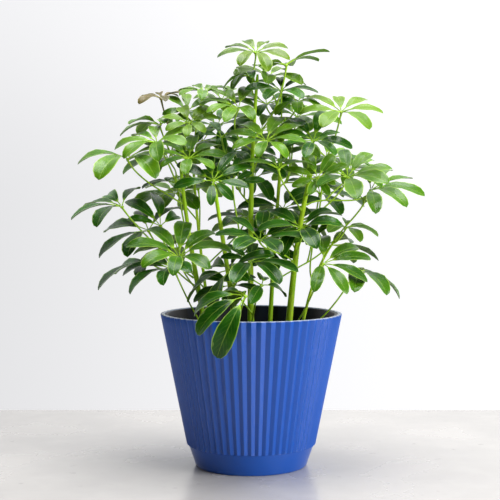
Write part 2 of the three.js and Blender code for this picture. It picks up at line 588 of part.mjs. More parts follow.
// The space of the hub: blunt points over and under its rim.
function hubSpace(leaf) {
  const shape = newShape();
  const { rim, crown } = hubRim(leaf);
  const ring = addRing(shape, rim.map(({ top, under }) => {
    const point = under ? top.clone().lerp(under, 0.5) : top;
    return mixed(point, [point.clone().sub(leaf.hub).normalize(), 2 * CLEARANCE]);
  }));
  closeRing(shape, ring, mixed(crown, [leaf.frame.axis, 2 * CLEARANCE]), true);
  closeRing(shape, ring, mixed(leaf.hub, [leaf.frame.axis, -HUB_DROP - CLEARANCE]), false);
  return shape;
}

// Closes the band between the petiole's last ring and the rim: both run the same way round, and the
// next face always takes the ring whose next point comes first.
function joinHub(shape, low, high, bearings) {
  const step = 360 / low.length;
  const start = Math.floor(bearings[0] / step);
  const lowAt = (k) => low[(((start + k) % low.length) + low.length) % low.length];
  const highAt = (k) => high[k % high.length];
  let a = 0;
  let b = 0;
  while (a < low.length || b < high.length) {
    const nextHigh = b + 1 < high.length ? bearings[b + 1] : bearings[0] + 360;
    const takeHigh = a === low.length || (b < high.length && nextHigh <= (start + a + 1) * step);
    const third = takeHigh ? highAt(b + 1) : lowAt(a + 1);
    shape.faces.push([lowAt(a), third, highAt(b)]);
    a += takeHigh ? 0 : 1;
    b += takeHigh ? 1 : 0;
  }
}

// A whole leaf in one closed shape: petiole, hub and leaflets. A leaflet without room is left out.
function leafShape(leaf) {
  const { shape, last } = petioleTube(leaf, leaf.petiole, PETIOLE_RADIUS);
  const { rim, crown } = hubRim(leaf);
  const upper = rim.map(({ top }) => addPoint(shape, top));
  const lower = rim.map(({ under }, k) => (under ? addPoint(shape, under) : upper[k]));
  const centre = addPoint(shape, crown);
  upper.forEach((corner, k) => shape.faces.push([centre, corner, upper[(k + 1) % upper.length]]));
  joinHub(shape, last, lower, rim.map(({ bearing }) => bearing));
  leaf.leaflets.forEach((leaflet, k) => {
    const root = [upper[2 * k], upper[2 * k + 1], upper[(2 * k + 2) % upper.length], lower[2 * k + 1]];
    if (leaflet) {
      addLeaflet(shape, root, leaflet);
    } else {
      shape.faces.push([root[0], root[3], root[2]], [root[0], root[2], root[1]]);
    }
  });
  return shape;
}

// The faces of a leaf's petiole come first in its shape: the tube's and the one that closes its start.
const PETIOLE_FACES = 2 * PETIOLE_SIDES * PETIOLE_STEPS + 1;

// Triangles of a shape with the box around each and around them all.
function piece(shape, faces = shape.faces) {
  const triangles = faces.map((face) => {
    const corners = face.map((k) => shape.points[k]);
    return { corners, box: new THREE.Box3().setFromPoints(corners) };
  });
  const box = triangles.reduce((all, triangle) => all.union(triangle.box), new THREE.Box3());
  return { triangles, box };
}

const edgeA = new THREE.Vector3();
const edgeB = new THREE.Vector3();
const squareOut = new THREE.Vector3();
const meeting = new THREE.Vector3();
const winding = new THREE.Vector3();

// Whether the line from p to q goes through a triangle.
function pierces(p, q, [a, b, c]) {
  squareOut.crossVectors(edgeA.subVectors(b, a), edgeB.subVectors(c, a));
  const above = squareOut.dot(edgeA.subVectors(p, a));
  const below = squareOut.dot(edgeA.subVectors(q, a));
  if (above * below > 0 || above === below) {
    return false;
  }
  meeting.lerpVectors(p, q, above / (above - below));
  return [[a, b], [b, c], [c, a]].every(([from, to]) => {
    winding.crossVectors(edgeA.subVectors(to, from), edgeB.subVectors(meeting, from));
    return squareOut.dot(winding) >= 0;
  });
}

function cross(one, other) {
  return [0, 1, 2].some((k) => {
    const next = (k + 1) % 3;
    return pierces(one[k], one[next], other) || pierces(other[k], other[next], one);
  });
}

function isClear(moving, standing) {
  return !standing.some((other) => moving.box.intersectsBox(other.box) && moving.triangles.some((one) => (
    one.box.intersectsBox(other.box) && other.triangles.some((two) => (
      one.box.intersectsBox(two.box) && cross(one.corners, two.corners)
    ))
  )));
}

// Every mixture of the choices, the smallest change first.
function mixtures(choices) {
  const names = Object.keys(choices);
  const all = names.reduce((list, name) => list.flatMap((change) => (
    choices[name].map((value, cost) => ({ ...change, [name]: value, cost: change.cost + cost }))
  )), [{ cost: 0 }]);
  return all.sort((one, other) => one.cost - other.cost);
}

const leafletChanges = mixtures({ lift: LIFTS, swing: SWINGS, size: SIZES });
const petioleChanges = mixtures({ start: START_STEPS, bow: BOWS });

// Tries to place a leaf with its hub slid by so much; gives null when its petiole finds no way.
function placeLeaf(leaf, slide, standing) {
  const tried = { ...leaf, hub: mixed(leaf.hub, [BACKWARD, slide]) };
  if (!isClear(piece(hubSpace(tried)), standing)) {
    return null;
  }
  const others = standing.filter((one) => !leaf.host || one !== leaf.host.petiolePiece);
  const change = petioleChanges.find((option) => {
    const line = petioleLine(tried, option);
    return isClear(piece(petioleTube(tried, line, PETIOLE_RADIUS + CLEARANCE).shape), others);
  });
  if (!change) {
    return null;
  }
  tried.petiole = petioleLine(tried, change);
  const petiole = piece(petioleTube(tried, tried.petiole, PETIOLE_RADIUS).shape);
  const blades = [];
  tried.leaflets = Array.from({ length: leaf.count }, (_, index) => {
    const option = leafletChanges.find((one) => {
      const space = leafletSpaces(leafletAt(tried, index, one));
      return isClear(space.whole, standing) && isClear(space.blade, blades) && isClear(space.free, [petiole]);
    });
    if (!option) {
      return null;
    }
    const leaflet = leafletAt(tried, index, option);
    blades.push(leafletSpaces(leaflet).blade);
    return leaflet;
  });
  return tried;
}

const missing = (leaf) => leaf.leaflets.filter((leaflet) => !leaflet).length;

function growLeaf(leaf, standing) {
  let best = null;
  for (const slide of HUB_SLIDES) {
    const tried = placeLeaf(leaf, slide, standing);
    if (tried && (!best || missing(tried) < missing(best))) {
      best = tried;
    }
    if (best && !missing(best)) {
      break;
    }
  }
  return best;
}

const TRAITS = [
  'name', 'bearer', 'along', 'hub', 'azimuth', 'tilt',
  'count', 'longest', 'turn', 'sweep', 'rise', 'droop', 'age',
];
const leaves = LEAVES.map((row) => {
  const leaf = Object.fromEntries(TRAITS.map((trait, k) => [trait, row[k]]));
  leaf.number = Number(leaf.name.slice('leaf_'.length));
  leaf.hub = at(leaf.hub);
  leaf.frame = leafFrame(leaf);
  return leaf;
});

const shapes = [
  { name: 'outer_pot', slot: 'pot_blue', shape: outerPot() },
  { name: 'inner_pot', slot: 'insert_black', shape: innerPot() },
  { name: 'soil', slot: 'potting_mix', shape: soil() },
  ...stems.map((stem) => ({ name: stem.name, slot: 'stem_green', shape: stemShape(stem) })),
];
const standing = shapes.map(({ shape }) => piece(shape));
const grown = new Map();
for (const leaf of leaves) {
  const host = grown.get(leaf.bearer);
  const stem = stems.find((one) => one.name === leaf.bearer);
  const own = growLeaf({ ...leaf, host, stem }, standing);
  const shape = leafShape(own);
  own.petiolePiece = piece(shape, shape.faces.slice(0, PETIOLE_FACES));
  standing.push(own.petiolePiece, piece(shape, shape.faces.slice(PETIOLE_FACES)));
  grown.set(leaf.name, own);
  if (host) {
    host.node.shape = fromSolid(toSolid(host.node.shape).add(toSolid(shape)));
  } else {
    own.node = { name: leaf.name, slot: `leaf_${leaf.age}`, shape };
    shapes.push(own.node);
  }
}

const COLOURS = {
  pot_blue: { color: 0x5a78c4, roughness: 0.35 },
  insert_black: { color: 0x17181b, roughness: 0.6 },
  potting_mix: { color: 0x2b211a, roughness: 0.95 },
  stem_green: { color: 0x7f9a3c, roughness: 0.6 },
  leaf_dark: { color: 0x35602a, roughness: 0.45 },
  leaf_fresh: { color: 0x5c8a3f, roughness: 0.45 },
  leaf_young: { color: 0x86a83e, roughness: 0.5 },
};

const plant = new THREE.Group();
plant.name = 'umbrella_plant';
for (const { name, slot, shape } of shapes) {
  const geometry = new THREE.BufferGeometry();
  const places = shape.points.flatMap((point) => point.toArray());
  geometry.setAttribute('position', new THREE.Float32BufferAttribute(places, 3));
  geometry.setIndex(shape.faces.flat());
  geometry.computeVertexNormals();
  const material = new THREE.MeshStandardMaterial(COLOURS[slot]);
  material.name = slot;
  const mesh = new THREE.Mesh(geometry, material);
  mesh.name = name;
  plant.add(mesh);
}

export default plant;
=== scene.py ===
"""Looks of the potted umbrella plant: pleated blue pot, black insert, potting mix, stems and leaves.

Lengths and places in the tables and shapes below are millimetres in the frame of the solids (+Z up,
-Y the front, origin in the middle of the pot's base). They become metres when a mesh is made.
"""

import bpy
import numpy as np
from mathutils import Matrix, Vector


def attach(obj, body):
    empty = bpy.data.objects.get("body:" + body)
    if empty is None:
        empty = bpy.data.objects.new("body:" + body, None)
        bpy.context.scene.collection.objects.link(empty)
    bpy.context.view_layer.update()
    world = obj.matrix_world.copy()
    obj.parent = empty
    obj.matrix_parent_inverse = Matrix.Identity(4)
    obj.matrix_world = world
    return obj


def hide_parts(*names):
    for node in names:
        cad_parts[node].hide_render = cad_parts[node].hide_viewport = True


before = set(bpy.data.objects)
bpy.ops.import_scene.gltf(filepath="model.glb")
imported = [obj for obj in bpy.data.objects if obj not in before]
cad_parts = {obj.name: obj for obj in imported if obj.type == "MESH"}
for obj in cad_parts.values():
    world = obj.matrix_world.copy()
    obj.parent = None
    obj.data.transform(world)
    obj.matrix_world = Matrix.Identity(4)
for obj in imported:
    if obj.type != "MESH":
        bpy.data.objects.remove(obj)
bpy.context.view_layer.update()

MM = 0.001

# The pot: radii and heights of its outline.
RIM_RADIUS = 100.0
POT_HEIGHT = 168.0
FOOT_HEIGHT = 24.0
WALL_TAPER = 0.2
PLEATS = 60
PLEAT_DEPTH = 0.024
FOOT_TOP_RADIUS = 69.2
FOOT_LOW_RADIUS = 61.5
BASE_RADIUS = 60.5
BASE_EDGE = 1.5
POT_WALL = 5.6
POT_FLOOR = 4.0
FLOOR_RADIUS = 57.5
LEDGE_DEPTH = 3.0
LEDGE_RADIUS = 95.2
FIT = 0.3
COLUMNS_PER_PLEAT = 8
PLEAT_FLATS = 0.03
WALL_ROWS = 16
CORNER_STEPS = 4
CORNER_SHARE = 0.45

# The insert and the potting mix with its mounds and crumbs.
FLANGE_THICKNESS = 2.0
INSERT_WALL = 1.6
INSERT_FLOOR = 2.0
INSERT_SIDE_GAP = 0.6
INSERT_BOTTOM = 30.0
SOIL_LEVEL = 140.0
SOIL_BUMP = 1.5
MOUND_ALONG, MOUND_DEEP, SLANT_ALONG, SLANT_DEEP = 13, 11, 9, 7
MOUND_STARTS = (0.6, 0.4)
SLANT_SHARE = 0.6
CRUMB_WAVES = 26
CRUMB_LENGTHS = (2.2, 7.0)
CRUMB_FLATNESS = 60
CRUMB_FREE_EDGE = 0.05
CRUMB_SINK = 0.4
CRUMB_SEED = 7
INSERT_COLUMNS = 144
SOIL_COLUMNS = 180
SOIL_RINGS = 60
SOIL_SHARES = (0.995, 0.012)

# Leaflets: where the stalk starts and ends as shares of the length, and half thicknesses.
FOOT_SHARE = 0.05
STALK_SHARE = 0.19
STALK_HALF = 0.6
BLADE_HALF = 0.38

# Blades: half width as a share of the length, but at most what the angle to the next leaflet leaves free
# at GAP_PLACE; the power that moves the widest place toward the tip and the one that rounds the outline;
# the fold in degrees, which flattens toward the margin; the margin's wave; how much shorter at the back.
HALF_WIDTHS = {"dark": 0.165, "fresh": 0.17, "young": 0.18}
GAP_PLACE = 0.56
GAP_ANGLE = 0.38
TOWARD_TIP = 1.357
FULLNESS = 0.5
FOLD = 26.0
FOLD_FLATTENS = 0.42
WAVE = 0.10
WAVES_ALONG = 1.4
BACK_SHORTER = 0.12

# A leaflet's sections: two on the stalk, the others from foot to tip of the blade. Round each section go
# eight points, whose places across and above are given, and whether they lie on the underside.
STALK_STATIONS = (-0.6, -0.25)
BLADE_ENDS = (0.02, 0.985)
BLADE_STEPS = 8
BLADE_OPENS = 0.15
RIB_NARROWS = 0.8
TIP_STARTS = 0.9
TIP_THINNER = 0.75
SECTION_ACROSS = np.array([-1, -0.55, 0, 0.55, 1, 0.55, 0, -0.55])
SECTION_ABOVE = np.array([0, 0.75, 1, 0.75, 0, -0.75, -1.25, -0.75])
SECTION_UNDER = [0.5, 0, 0, 0, 0.5, 1, 1, 1.0]

# How far leaflets differ: bearing (in degrees, and at most that share of the angle between leaflets),
# length as a share, rise, end and twist in degrees. Then the numbers of the draw itself.
VARIES = {"bearing": 5, "bearing_share": 0.12, "length": 0.06, "rise": 6, "end": 9, "twist": 12}
DRAW_WEIGHTS = (12.9898, 78.233, 37.719)
DRAW_SIZE = 43758.5453
FULL_TURN = 6.28
HALF_TURN = 3.1416

# Petioles and the hubs that the leaflets meet in.
HUB_RADIUS = 2.4
HUB_SHARE = 0.085
HUB_DROP = 2.2
PETIOLE_RADIUS = 1.0
PETIOLE_LOOKS = 0.92
PETIOLE_FLARE = 0.35
FLARE_LENGTH = 0.05
PETIOLE_BEND = 0.33
PETIOLE_LIFT = 0.9
PETIOLE_STEPS = 4
PETIOLE_RINGS = 13
PETIOLE_SIDES = 8
HUB_SIDES = 10
CLEARANCE = 0.35

# A tube that starts off mostly along X takes its first side from Y instead.
MOSTLY_ALONG_X = 0.9

# Stems: rings and sides, the swelling at each leaf scar, and how much the tip draws in.
STEM_RINGS = 70
STEM_SIDES = 16
SCAR_LENGTH = 0.012
SCAR_SWELLING = 0.10
STEM_TIP = 0.7

# The ways in which a leaf of the solids may have given way to its neighbours: the hub slid to the back or
# front, the petiole started elsewhere or bowed, leaflets lifted, swung or made smaller. Last, how close
# a point has to come to a corner of the solids to count as the same one.
HUB_SLIDES = np.array([0, 5, -5, 10, -10, 15, -15, 20, -20, 26, -26], float)
START_STEPS = [0, 0.03, -0.03, 0.06, -0.06, 0.1, -0.1]
BOWS = [0, 5, -5, 10, -10, 16, -16]
LIFTS = [0, 6, -6, 12, -12, 18, -18, 25, -25, 33, -33]
SWINGS = [0, 6, -6]
SIZES = [1, 0.85, 0.7]
SAME_POINT = 0.02

# Stems: the four control points of each centre line, then the radius low down and at the tip.
STEMS = {
    "stem_1": ((-46, 5, 114), (-56, 2, 190), (-72, -2, 260), (-77, -5, 330), 3.3, 1.7),
    "stem_2": ((-13, -12, 114), (-20, -15, 190), (-32, -24, 255), (-39, -32, 305), 3.3, 1.9),
    "stem_3": ((0, 14, 114), (-1, 12, 230), (-2, 8, 320), (7, 4, 430), 3.9, 1.6),
    "stem_4": ((38, -5, 114), (45, -6, 200), (50, -10, 270), (70, -12, 340), 4.2, 1.9),
    "stem_5": ((20, 45, 114), (24, 46, 210), (30, 42, 300), (38, 34, 385), 2.8, 1.5),
    "stem_6": ((-40, 35, 114), (-52, 38, 190), (-62, 36, 260), (-66, 30, 350), 1.9, 1.4),
    "stem_7": ((50, -5, 114), (58, -6, 175), (70, -8, 225), (98, -8, 256), 1.8, 1.2),
}

# Leaves: stem and how far up it they grow, place of the hub, the way they lean (degrees, 0 = +X) and
# how far, number of leaflets, longest leaflet, bearing of the first, angle shared, rise at the hub,
# droop at the tip, age. A leaf that names another leaf as its stem grows from that one's petiole.
LEAVES = {
    "leaf_01": ("stem_3", 0.97, (5, 0, 453), -90, 27, 8, 47, -27, 360, 30, 34, "fresh"),
    "leaf_17": ("stem_1", 0.34, (-76, -54, 231), 90, -28, 8, 68, 0, 354, 46, 30, "fresh"),
    "leaf_24": ("stem_2", 0.16, (-6, -104, 195), -58, 33, 5, 76, -206, 196, -6, 90, "dark"),
    "leaf_13": ("stem_1", 0.8, (-134, -13, 337), -96, 17, 5, 68, -80, 307, 36, 44, "fresh"),
    "leaf_15": ("stem_1", 0.45, (-140, -19, 285), -146, 26, 5, 60, 211, 222, 39, 24, "dark"),
    "leaf_27": ("stem_4", 0.14, (76, -53, 225), 100, -30, 6, 64, -199, 225, 19, 30, "fresh"),
    "leaf_28": ("stem_7", 0.19, (112, -19, 214), -16, 15, 5, 63, -75, 212, 22, 51, "fresh"),
    "leaf_29": ("stem_4", 0.75, (132, 6, 303), -95, 26, 6, 67, 4, 222, 30, 27, "fresh"),
    "leaf_32": ("stem_4", 0.93, (98, -8, 388), -92, 29, 7, 54, 33, 352, 26, 23, "young"),
    "leaf_20": ("stem_2", 0.97, (-40, -50, 313), 80, -48, 8, 50, 180, 320, 16, 16, "dark"),
    "leaf_07": ("stem_1", 0.96, (-67, -25, 337), 90, -30, 8, 50, 0, 360, 26, 24, "fresh"),
    "leaf_19": ("stem_1", 0.17, (-81, -56, 218), -146, 24, 5, 63, -87, 215, 44, 33, "dark"),
    "leaf_23": ("stem_4", 0.46, (9, -51, 250), -85, 30, 7, 59, 18, 360, 34, 12, "dark"),
    "leaf_26": ("stem_3", 0.2, (-1, -57, 227), -68, 27, 7, 56, 8, 360, 29, 17, "dark"),
    "leaf_43": ("stem_3", 0.12, (11, -49, 202), 149, -31, 5, 50, -110, 276, 18, 50, "dark"),
    "leaf_35": ("stem_4", 0.5, (54, -39, 261), -112, 36, 6, 56, -118, 311, 44, 28, "dark"),
    "leaf_31": ("stem_4", 0.66, (105, -15, 317), -93, 34, 8, 60, 8, 360, 33, 10, "fresh"),
    "leaf_39": ("stem_4", 0.72, (29, -45, 325), -90, 20, 6, 50, 105, 192, 30, 32, "fresh"),
    "leaf_37": ("stem_3", 0.64, (16, -30, 355), 90, -30, 8, 52, -15, 360, 30, 28, "fresh"),
    "leaf_38": ("stem_4", 0.88, (67, -20, 356), 90, -35, 8, 52, -15, 360, 28, 22, "dark"),
    "leaf_05": ("stem_3", 0.74, (-14, -12, 392), 85, -30, 6, 52, -15, 270, 32, 30, "fresh"),
    "leaf_08": ("stem_6", 0.97, (-67, -10, 376), 80, -38, 7, 38, 27, 360, 25, 25, "young"),
    "leaf_12": ("stem_1", 0.86, (-102, -8, 354), -110, 28, 7, 54, 200, 320, 32, 28, "fresh"),
    "leaf_09": ("stem_6", 0.9, (-71, 20, 391), 90, -40, 7, 36, 5, 360, 22, 18, "fresh"),
    "leaf_40": ("stem_6", 0.97, (-52, 10, 411), -90, 18, 7, 36, 0, 360, 30, 30, "fresh"),
    "leaf_04": ("stem_5", 0.93, (33, 5, 412), -90, 25, 7, 46, 80, 360, 30, 25, "dark"),
    "leaf_02": ("stem_3", 0.82, (38, -5, 439), 0, -8, 6, 50, -5, 262, 26, 16, "fresh"),
    "leaf_03": ("stem_3", 0.9, (1, 0, 428), 180, 15, 6, 42, -90, 216, 30, 50, "dark"),
    "leaf_18": ("stem_1", 0.38, (-112, -16, 259), -118, 31, 5, 71, -194, 256, 29, 31, "dark"),
    "leaf_16": ("stem_1", 0.42, (-99, -11, 264), 118, -55, 4, 60, -57, 159, 5, 45, "dark"),
    "leaf_14": ("stem_1", 0.56, (-82, 15, 311), 180, 5, 6, 44, 20, 360, 25, 28, "dark"),
    "leaf_11": ("stem_6", 0.86, (-102, 25, 376), 180, 6, 7, 50, 0, 360, 30, 35, "fresh"),
    "leaf_10": ("stem_6", 0.93, (-101, 35, 406), -90, 15, 6, 34, 15, 360, 35, 35, "young"),
    "leaf_06": ("stem_3", 0.55, (-33, 15, 362), 90, -35, 5, 34, -50, 360, 25, 15, "dark"),
    "leaf_21": ("stem_2", 0.38, (-20, -20, 310), 90, -48, 5, 42, -85, 190, 15, 12, "dark"),
    "leaf_22": ("stem_6", 0.45, (-6, 35, 272), -90, 12, 6, 54, -30, 360, 25, 30, "dark"),
    "leaf_25": ("stem_2", 0.3, (-22, -70, 219), -147, 41, 6, 62, 23, 360, 20, 38, "dark"),
    "leaf_30": ("stem_7", 0.97, (122, -20, 289), 40, 30, 5, 13, 0, 360, 55, -60, "young"),
    "leaf_33": ("stem_4", 0.44, (53, 0, 268), -110, 10, 7, 60, 22, 300, 28, 20, "dark"),
    "leaf_34": ("stem_4", 0.8, (71, -35, 316), 90, -50, 8, 38, 20, 360, 15, 12, "fresh"),
    "leaf_36": ("stem_7", 0.55, (67, -20, 249), -90, 35, 5, 38, 130, 200, 20, 5, "fresh"),
    "leaf_41": ("stem_7", 0.9, (103, -15, 262), -70, 18, 7, 40, 50, 360, 24, 30, "young"),
    "leaf_42": ("stem_5", 0.97, (51, 10, 400), -100, 25, 7, 42, 10, 360, 25, 40, "fresh"),
    "leaf_44": ("stem_5", 0.35, (23, 10, 237), 90, -45, 7, 42, -10, 360, 15, 12, "dark"),
    "leaf_45": ("stem_6", 0.6, (-62, 82, 305), 120, 30, 6, 58, 0, 360, 32, 30, "fresh"),
    "leaf_46": ("stem_5", 0.4, (8, 95, 262), 95, 35, 6, 64, 15, 360, 32, 30, "dark"),
    "leaf_47": ("stem_5", 0.7, (62, 80, 318), 55, 30, 6, 58, 30, 360, 32, 30, "fresh"),
    "leaf_48": ("stem_5", 0.85, (12, 70, 372), 105, 28, 6, 52, 0, 360, 32, 30, "fresh"),
    "leaf_49": ("stem_6", 0.35, (-85, 62, 236), 140, 30, 6, 62, 10, 360, 32, 30, "dark"),
    "leaf_50": ("stem_5", 0.3, (88, 58, 240), 35, 30, 6, 62, 20, 360, 32, 30, "dark"),
    "leaf_51": ("leaf_40", 0.5, (-33, 30, 404), -90, 25, 7, 48, 0, 360, 28, 28, "fresh"),
    "leaf_52": ("leaf_06", 0.5, (-37, 30, 376), -100, 28, 7, 55, 20, 360, 28, 28, "fresh"),
    "leaf_53": ("leaf_06", 0.1, (-9, 25, 330), -80, 30, 7, 56, 10, 360, 28, 26, "fresh"),
    "leaf_54": ("leaf_04", 0.15, (17, 35, 400), -80, 25, 7, 53, 20, 360, 28, 28, "dark"),
    "leaf_55": ("leaf_47", 0.2, (43, 25, 355), -100, 30, 7, 56, 0, 360, 28, 28, "dark"),
    "leaf_56": ("leaf_12", 0.2, (-92, 30, 338), -120, 22, 7, 59, 20, 360, 28, 28, "fresh"),
    "leaf_57": ("leaf_11", 0.1, (-54, 35, 359), -90, 28, 7, 54, 0, 360, 28, 28, "fresh"),
    "leaf_58": ("leaf_31", 0.3, (84, 25, 340), -60, 28, 7, 58, 0, 360, 28, 28, "fresh"),
    "leaf_59": ("leaf_06", 0.2, (-20, 50, 348), -90, 30, 7, 54, 20, 360, 28, 28, "dark"),
    "leaf_60": ("leaf_33", 0.4, (36, 36, 282), -90, 30, 7, 58, 12, 360, 28, 28, "dark"),
    "leaf_61": ("leaf_02", 0.5, (19, 30, 430), -60, 20, 7, 52, 20, 360, 28, 28, "fresh"),
    "leaf_62": ("leaf_18", 0.3, (-113, 25, 223), 200, 30, 6, 66, 0, 360, 28, 30, "dark"),
    "leaf_63": ("leaf_47", 0.3, (52, 40, 386), -80, 25, 7, 56, 10, 360, 28, 28, "fresh"),
    "leaf_64": ("leaf_46", 0.4, (4, 50, 316), -90, 30, 7, 58, 20, 360, 28, 28, "dark"),
    "leaf_65": ("leaf_45", 0.3, (-84, 50, 300), -110, 30, 7, 58, 0, 360, 28, 28, "fresh"),
    "leaf_66": ("leaf_50", 0.6, (78, 45, 300), -70, 30, 6, 58, 0, 360, 28, 28, "fresh"),
    "leaf_67": ("leaf_44", 0.3, (16, 30, 252), -90, 30, 7, 60, 20, 360, 28, 28, "dark"),
    "leaf_68": ("leaf_29", 0.3, (112, 30, 326), -70, 28, 7, 52, 15, 360, 28, 28, "fresh"),
    "leaf_69": ("leaf_43", 0.25, (-20, -14, 200), -110, 34, 6, 56, 10, 360, 24, 30, "dark"),
}


def unit(vectors):
    """Vectors cut to length one."""
    return vectors / np.linalg.norm(vectors, axis=-1, keepdims=True)


def vary(leaf, leaflet, trait):
    """A draw between -1 and 1, the same each time for a leaf, leaflet and trait: the sine of their
    weighed sum is made large, and what is left of it without its whole part is the draw."""
    by_leaf, by_leaflet, by_trait = DRAW_WEIGHTS
    value = np.sin(leaf * by_leaf + leaflet * by_leaflet + trait * by_trait) * DRAW_SIZE
    return 2 * (value - np.floor(value)) - 1


def along_curve(controls, t):
    """Points and directions on a cubic curve: its four controls weighed by the four shares of t."""
    a, b, c, d = (np.asarray(point, float) for point in controls)
    t = np.atleast_1d(np.asarray(t, float))[:, None]
    rest = 1 - t
    points = rest**3 * a + 3 * rest**2 * t * b + 3 * rest * t**2 * c + t**3 * d
    ways = rest**2 * (b - a) + 2 * rest * t * (c - b) + t**2 * (d - c)
    return points, unit(ways)


def make_piece(name, points, faces, finish, slot, nodes, sharp=None, uvs=()):
    """A mesh object from points in millimetres and a list of faces, in place of the named solids. It is
    shaded smooth, but for edges that turn by more than the sharp angle if one is given."""
    mesh = bpy.data.meshes.new(name)
    mesh.from_pydata((np.asarray(points) * MM).tolist(), [], faces)
    mesh.update()
    mesh.polygons.foreach_set("use_smooth", np.ones(len(mesh.polygons), bool))
    loops = np.empty(len(mesh.loops), int)
    mesh.loops.foreach_get("vertex_index", loops)
    for uv_name, values in uvs:
        layer = mesh.uv_layers.new(name=uv_name)
        layer.uv.foreach_set("vector", np.asarray(values, float)[loops].ravel())
    if sharp is not None:
        mesh.set_sharp_from_angle(angle=np.radians(sharp))
    mesh.materials.append(finish)
    piece = bpy.data.objects.new(name, mesh)
    bpy.context.collection.objects.link(piece)
    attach(piece, "root")
    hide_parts(*nodes)


def ring_faces(rows, columns, first=0):
    """Four-sided faces between rings of points that follow each other, each ring closed on itself."""
    row, column = np.meshgrid(np.arange(rows - 1), np.arange(columns), indexing="ij")
    low = first + row * columns + column
    low_next = first + row * columns + (column + 1) % columns
    return np.stack([low, low_next, low_next + columns, low + columns], -1).reshape(-1, 4).tolist()


def cap_faces(ring, centre, upward):
    """A fan of triangles that closes a ring of points on a centre point."""
    following = np.roll(ring, -1)
    centres = np.full(len(ring), centre)
    columns = (centres, ring, following) if upward else (centres, following, ring)
    return np.stack(columns, -1).tolist()


def closed_faces(rows, columns, first=0):
    """Faces of a closed surface: four-sided ones between its rings of points, and a fan at either end.
    The fans' two middle points follow the last ring."""
    last = first + (rows - 1) * columns
    pole = last + columns
    start_fan = cap_faces(first + np.arange(columns), pole, False)
    end_fan = cap_faces(last + np.arange(columns), pole + 1, True)
    return ring_faces(rows, columns, first) + start_fan + end_fan


def turned_surface(profile, columns, factor=None):
    """A profile of (radius, height) pairs turned round +Z. The factor, one number for each point, scales
    the radius there."""
    profile = np.asarray(profile, float)
    angles = 2 * np.pi * np.arange(columns) / columns
    scale = np.ones((len(profile), columns)) if factor is None else factor
    radius = profile[:, :1] * scale
    height = np.repeat(profile[:, 1:], columns, 1)
    points = np.stack([radius * np.cos(angles), radius * np.sin(angles), height], -1)
    poles = [[0, 0, profile[0, 1]], [0, 0, profile[-1, 1]]]
    return np.concatenate([points.reshape(-1, 3), poles]), closed_faces(len(profile), columns)


def rounded(corners, radius):
    """A profile whose inner corners give way to short curves, which start a radius before the corner, or
    nearly half an edge before it where the edge is short."""
    corners = [np.asarray(corner, float) for corner in corners]
    line = [corners[0]]
    for before, corner, after in zip(corners, corners[1:], corners[2:]):
        back = min(radius, CORNER_SHARE * np.linalg.norm(before - corner))
        ahead = min(radius, CORNER_SHARE * np.linalg.norm(after - corner))
        start = corner + unit(before - corner) * back
        end = corner + unit(after - corner) * ahead
        for t in np.linspace(0, 1, CORNER_STEPS + 1):
            line.append((1 - t) ** 2 * start + 2 * t * (1 - t) * corner + t * t * end)
    line.append(corners[-1])
    return line


def ridge_radius(z):
    """Outer radius of the pleats' ridges at a height: straight from foot to rim."""
    return RIM_RADIUS - (POT_HEIGHT - z) * WALL_TAPER


def pot_shape():
    """The pot's outline turned round. From the foot band to the rim the radius swings with the pleats: it
    falls evenly from ridge to groove and rises again, by a share of the radius."""
    ledge = POT_HEIGHT - LEDGE_DEPTH
    foot = rounded([
        (BASE_RADIUS - 6, 0), (BASE_RADIUS, 0), (FOOT_LOW_RADIUS, BASE_EDGE),
        (FOOT_TOP_RADIUS, FOOT_HEIGHT - 0.5), (FOOT_TOP_RADIUS - 0.4, FOOT_HEIGHT),
    ], radius=0.9)
    wall = [(ridge_radius(z), z) for z in np.linspace(FOOT_HEIGHT, POT_HEIGHT - 0.8, WALL_ROWS)]
    lip = [(RIM_RADIUS - 0.25, POT_HEIGHT - 0.25), (RIM_RADIUS - 0.9, POT_HEIGHT)]
    inside = rounded([
        (RIM_RADIUS - 2.8, POT_HEIGHT), (LEDGE_RADIUS, POT_HEIGHT), (LEDGE_RADIUS, ledge),
        (ridge_radius(ledge) - POT_WALL, ledge), (ridge_radius(FOOT_HEIGHT) - POT_WALL, FOOT_HEIGHT),
        (FLOOR_RADIUS, POT_FLOOR), (FLOOR_RADIUS - 8, POT_FLOOR),
    ], radius=0.8)
    profile = foot + wall + lip + inside
    pleated = np.zeros(len(profile))
    pleated[len(foot):len(profile) - len(inside)] = 1
    columns = PLEATS * COLUMNS_PER_PLEAT
    turn = np.arange(columns) / COLUMNS_PER_PLEAT
    swing = np.abs((turn % 1) - 0.5) * 2
    swing = np.clip((1 - swing) * (1 + 2 * PLEAT_FLATS) - PLEAT_FLATS, 0, 1)
    return turned_surface(profile, columns, 1 - PLEAT_DEPTH * pleated[:, None] * swing[None, :])


def insert_radius(z):
    """Outer radius of the insert at a height: that of the pleats' ridges less the wall and a gap."""
    return ridge_radius(z) - POT_WALL - INSERT_SIDE_GAP


def insert_shape():
    """The insert's outline turned round: a tapered cup with a flange that rests on the pot's ledge."""
    flange = POT_HEIGHT - LEDGE_DEPTH + FIT
    top = flange + FLANGE_THICKNESS
    floor = INSERT_BOTTOM + INSERT_FLOOR
    profile = rounded([
        (insert_radius(INSERT_BOTTOM) - 8, INSERT_BOTTOM),
        (insert_radius(INSERT_BOTTOM), INSERT_BOTTOM),
        (insert_radius(flange), flange),
        (LEDGE_RADIUS - FIT, flange),
        (LEDGE_RADIUS - FIT, top),
        (insert_radius(top) - INSERT_WALL, top),
        (insert_radius(floor) - INSERT_WALL, floor),
        (insert_radius(floor) - 9, floor),
    ], radius=0.7)
    return turned_surface(profile, INSERT_COLUMNS)


